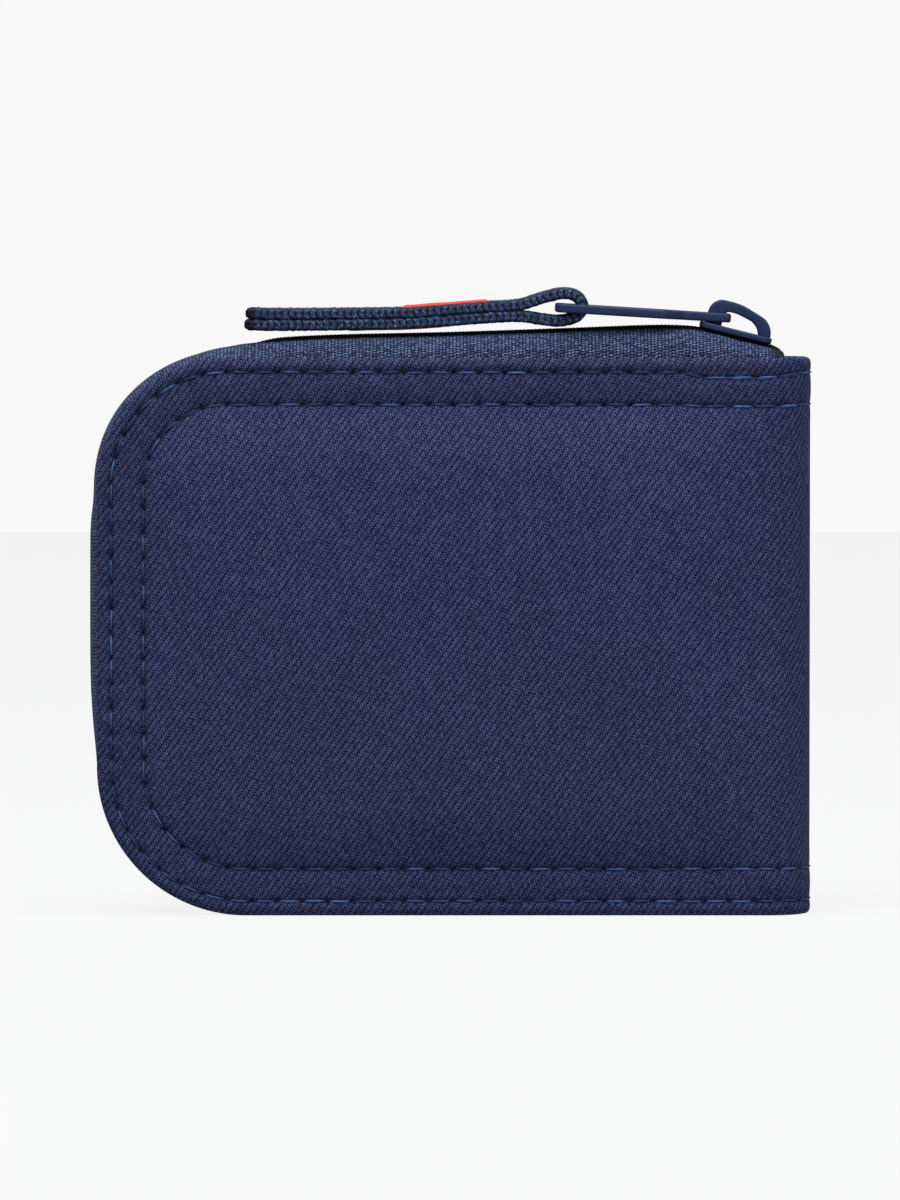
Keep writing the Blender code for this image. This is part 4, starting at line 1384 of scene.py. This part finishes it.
def panel_grid(low, high, corner_top, corner_bottom, step=1.4):
    """A grid of (x, z) over a rectangle whose left corners are rounded."""
    rows = max(round((high[1] - low[1]) / step), 2)
    columns = max(round((high[0] - low[0]) / step), 2)
    part = np.linspace(0, 1, rows + 1)
    tall = high[1] - low[1]
    z = low[1] + tall * (0.5 - 0.5 * np.cos(math.pi * part)) * 0.5 + tall * part * 0.5
    left = np.full(len(z), low[0])
    if corner_top:
        over = np.clip(z - (high[1] - corner_top), 0, corner_top)
        left += corner_top - np.sqrt(corner_top**2 - over**2)
    if corner_bottom:
        under = np.clip(low[1] + corner_bottom - z, 0, corner_bottom)
        left += corner_bottom - np.sqrt(np.maximum(corner_bottom**2 - under**2, 0))
    across = np.linspace(0, 1, columns + 1)
    x = left[:, None] + (high[0] - left[:, None]) * across[None, :]
    return x, np.broadcast_to(z[:, None], x.shape)


def cloth_panel(name, node, side, body, slot, material, corners=(0, 0), hem=True, wave=0.12):
    """A lining or pocket panel in its CAD node's place, with a folded and stitched top edge."""
    low, high = node_box(node)
    x, z = panel_grid((low.x, low.z), (high.x, high.z), *corners)
    outer_depth = max(abs(low.y), abs(high.y))
    inner_depth = min(abs(low.y), abs(high.y))
    from_top = high.z - z
    sewn = 0.08 * hump(from_top, HEM_SEAM, 0.35)
    fold = (0.16 * (1 - smooth(3.2, 3.7, from_top)) - sewn) if hem else 0 * z
    swell = waves(len(name) + 7, 10, 14.0, 50.0)(x, z)
    edge = np.minimum(np.minimum(x - low.x, high.x - x), np.minimum(z - low.z, high.z - z))
    bulge = wave * swell * smooth(0, 8, edge)
    inner = np.stack([x, side * (inner_depth - fold + bulge * 0.5), z], axis=-1)
    outer = np.stack([x, np.broadcast_to(side * (outer_depth - 0.02), x.shape) + 0 * x, z], axis=-1)
    # Painted shade along the hem's stitched groove.
    painted_seam_shade = hump(from_top, HEM_SEAM, 0.3) if hem else 0 * z
    shade = 1 - 0.3 * painted_seam_shade
    shape = Shape()
    shape.add_slab(inner, outer, shade=shade)
    panel = shape.build(name, material, CLOTH_SHARP, both_faces(x, z))
    place_on(panel, body, slot, node)
    if not hem:
        return
    seam = Shape()
    draw = random.Random(len(name))
    count = int((high.x - low.x - 2) / HEM_PITCH)
    for number in range(count):
        here = low.x + 1.2 + number * HEM_PITCH
        path_x = np.linspace(here, here + HEM_STITCH, 7)
        arch = np.sin(np.linspace(0.05, math.pi - 0.05, 7))
        depth = inner_depth - 0.05 - 0.16 * arch
        path = np.stack([path_x, side * depth, np.full(7, high.z - HEM_SEAM)], axis=-1)
        normals = np.broadcast_to(np.array([0.0, -side, 0.0]), path.shape)
        radii = (HEM_THREAD, HEM_THREAD)
        seam.add_tube(path, radii, normals, 6, tone=np.full(7, 0.3 * draw.random()))
    place_on(seam.build(name + "_stitches", THREAD), body, slot)


def build_spine_lining(name, side):
    """Half of the spine's lining, from the cover's lining round the corner to mid-spine."""
    low, high = node_box("spine_lining_strip")
    u = np.concatenate([[BEND_START - 1.5, BEND_START - 0.4], np.linspace(BEND_START, MID_SPINE, 24)])
    z = np.linspace(low.z, high.z, 60)
    uu, zz = np.meshgrid(u, z)
    swell = 0.1 * waves(77, 8, 8.0, 30.0)(uu, zz) * smooth(0, 3, MID_SPINE - uu)
    outer = wrap(uu, zz, -SPINE_LINING_GAP, side)
    inner = wrap(uu, zz, -SPINE_LINING_GAP - SPINE_LINING_THICK + swell, side)
    weave_u = uu if side == FRONT else 2 * MID_SPINE - uu
    shape = Shape()
    shape.add_slab(outer, inner, shade=np.ones(uu.shape))
    lining = shape.build(name, LINING, CLOTH_SHARP, both_faces(weave_u, zz))
    bend_on(lining, side, "lining", *(["spine_lining_strip"] if side == FRONT else []))


def build_coin_zip():
    """The coin pocket's zip: woven tape, coil, slider and pull."""
    low, high = node_box("coin_zip_tape")
    x, z = panel_grid((low.x, low.z), (high.x, high.z), 0, 0, 0.9)
    middle = (low.z + high.z) / 2
    rise = 0.25 * hump(z, middle, 1.2)
    inner = np.stack([x, low.y - rise, z], axis=-1)
    outer = np.stack([x, np.full(x.shape, high.y), z], axis=-1)
    shape = Shape()
    shape.add_slab(inner, outer, shade=np.ones(x.shape))
    tape = shape.build("coin_tape", TAPE, CLOTH_SHARP, both_faces(x, z))
    place_on(tape, "back_cover", "zip_tape", "coin_zip_tape")

    low, high = node_box("coin_zip_coil")
    centre_y, centre_z = (low.y + high.y) / 2, (low.z + high.z) / 2
    radius = (high.z - low.z) / 2
    shape = Shape()
    count = int((high.x - low.x) / COIN_COIL_PITCH) * COIN_COIL_POINTS
    for half in (-1, 1):
        angle = math.tau * np.arange(count) / COIN_COIL_POINTS + (0 if half < 0 else math.pi)
        run = np.linspace(low.x + 0.3, high.x - 0.3, count)
        depth = centre_y + COIN_COIL_DEPTH * np.sin(angle)
        height = centre_z + half * radius * 0.45 + radius * 0.5 * np.cos(angle)
        path = np.stack([run, depth, height], axis=-1)
        normals = np.stack([0 * run, np.sin(angle), np.cos(angle)], axis=-1)
        shape.add_tube(path, (COIN_COIL_WIRE, COIN_COIL_WIRE), normals, 5)
    place_on(shape.build("coin_coil", COIL), "back_cover", "zip_coil", "coin_zip_coil")

    low, high = node_box("coin_zip_slider")
    centre = (low + high) / 2
    facing = Matrix.Translation((centre.x, low.y + 0.35, centre.z)) @ UPRIGHT
    face = four_corners(3.9, 2.6, 1.2, -3.9, 2.9, 1.5)
    top = plate("face", [face], 0.7, 0.2, METAL, facing)
    sides = []
    for up in (-1, 1):
        rail = four_corners(3.6, 0.35, 0.2, -3.6, 0.35, 0.2)
        at = Matrix.Translation((centre.x, (low.y + high.y) / 2 + 0.2, centre.z + up * 2.3)) @ UPRIGHT
        sides.append(plate("rail", [rail], 2.0, 0.15, METAL, at))
    place_on(joined("coin_slider_plates", [top, *sides]), "coin_slider", "painted_metal", "coin_zip_slider")

    low, high = node_box("coin_zip_pull")
    centre = (low + high) / 2
    half = (high.x - low.x) / 2
    length = (high.z - low.z) / 2
    outline = rounded_outline(
        [(half, -length, 1.4), (half, length, 0.7), (-half, length, 0.7), (-half, -length, 1.4)]
    )
    rim = half - 0.9
    slot_top = length - 1.0
    slot = rounded_outline([(rim, 2.0, 0.5), (rim, slot_top, 0.5), (-rim, slot_top, 0.5), (-rim, 2.0, 0.5)])
    at = Matrix.Translation(centre) @ UPRIGHT
    pull = plate("coin_pull", [outline, slot], high.y - low.y, 0.2, METAL, at)
    place_on(pull, "coin_slider", "painted_metal", "coin_zip_pull")


def build_inside():
    for side, cover in ((FRONT, "front"), (BACK, "back")):
        body = f"{cover}_cover"
        corners = (TOP_CORNER - 2.5, BOTTOM_CORNER - 2.5)
        lined = (side, body, "lining", LINING, corners)
        cloth_panel(f"{cover}_inner_lining", f"{cover}_lining", *lined, hem=False)
        cloth_panel(f"{cover}_sleeve", f"{cover}_note_sleeve", side, body, "pocket", POCKET, (0, 12))
        build_spine_lining(f"{cover}_spine_lining", side)
        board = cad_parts[f"{cover}_stiffener_board"].data.materials
        board.clear()
        board.append(BOARD)
    in_front = (FRONT, "front_cover", "pocket", POCKET, (0, 12))
    for number in (1, 2, 3):
        cloth_panel(f"card_slot_{number}", f"card_pocket_{number}", *in_front)
    behind = (BACK, "back_cover", "pocket", POCKET)
    cloth_panel("coin_panel", "coin_pocket_panel", *behind, (0, 12), hem=False)
    cloth_panel("coin_band", "coin_pocket_top_band", *behind, (0, 0), hem=False, wave=0.04)
    build_coin_zip()


# ------------------------------------------------------------------ stage, light and camera

VIEW_HEIGHT = 0.1944
VIEW_CENTRE = (0.0, 0.0, 0.0505)
WORLD_LIGHT = 0.45
WORLD_SEEN = 0.94
FLOOR_HALF = 1700.0
FLOOR_GLOW = 0.35
SEEN_GLOW = 0.515
CAMERA_AWAY = 1.5
CAMERA_RAISED = 2.5
SENSOR = 36.0
CAMERA_SEES = 20.0
LIT_POINT = (0.0, 0.0, 0.05)
# Each light's name, place, (width, height) and watts
LIGHTS = (
    ("key", (-0.35, -0.6, 1.05), (0.8, 0.6), 9.0),
    ("fill", (0.7, -0.9, 0.5), (0.7, 0.7), 4.0),
    ("top", (0.0, -0.15, 1.15), (0.9, 0.5), 9.0),
)


def build_stage():
    floor = Finish("pale_floor", (63, 64, 65), 0.95, Specular_IOR_Level=0.0)
    grain = floor.noise(floor.place(), 30.0, 2.0)
    floor.set("Base Color", floor.between(grain, (62, 63, 64), (64, 65, 66)))
    floor.set("Emission Color", (1.0, 1.0, 1.0, 1.0))
    seen = floor.node("ShaderNodeLightPath", {}).outputs["Is Camera Ray"]
    floor.set("Emission Strength", floor.add(floor.times(seen, SEEN_GLOW), FLOOR_GLOW))
    points = [(x, y, 0.0) for y in (-FLOOR_HALF, FLOOR_HALF) for x in (-FLOOR_HALF, FLOOR_HALF)]
    shape = Shape()
    shape.add(points, grid_faces(2, 2))
    shape.build("pale_floor", floor.material)


def add_light(name, place, size, power):
    """A white rectangle of light that faces the object."""
    lamp = bpy.data.lights.new(name, "AREA")
    lamp.shape = "RECTANGLE"
    lamp.size, lamp.size_y = size
    lamp.energy = power
    obj = bpy.data.objects.new(name, lamp)
    obj.location = place
    obj.rotation_euler = (Vector(LIT_POINT) - Vector(place)).to_track_quat("-Z", "Y").to_euler()
    bpy.context.scene.collection.objects.link(obj)


def build_light():
    world = bpy.data.worlds.new("studio")
    world.use_nodes = True
    nodes, links = world.node_tree.nodes, world.node_tree.links
    seen = nodes.new("ShaderNodeLightPath").outputs["Is Camera Ray"]
    strength = nodes.new("ShaderNodeMapRange")
    strength.inputs["To Min"].default_value = WORLD_LIGHT
    strength.inputs["To Max"].default_value = WORLD_SEEN
    links.new(seen, strength.inputs["Value"])
    nodes["Background"].inputs[0].default_value = (1.0, 1.0, 1.0, 1.0)
    links.new(strength.outputs[0], nodes["Background"].inputs[1])
    bpy.context.scene.world = world
    for light in LIGHTS:
        add_light(*light)
    bpy.context.scene.view_settings.view_transform = "Standard"


def build_camera():
    data = bpy.data.cameras.new("camera")
    data.sensor_width = SENSOR
    data.lens = SENSOR * CAMERA_AWAY / VIEW_HEIGHT
    data.clip_end = CAMERA_SEES
    camera = bpy.data.objects.new("camera", data)
    raised = math.radians(CAMERA_RAISED)
    back = Vector((0.0, -math.cos(raised), math.sin(raised)))
    camera.location = Vector(VIEW_CENTRE) + back * CAMERA_AWAY
    camera.rotation_euler = (-back).to_track_quat("-Z", "Y").to_euler()
    bpy.context.scene.collection.objects.link(camera)
    bpy.context.scene.camera = camera


build_stage()
build_light()
build_camera()
build_covers()
build_zip()
build_slider()
build_puller()
build_tab()
build_inside()
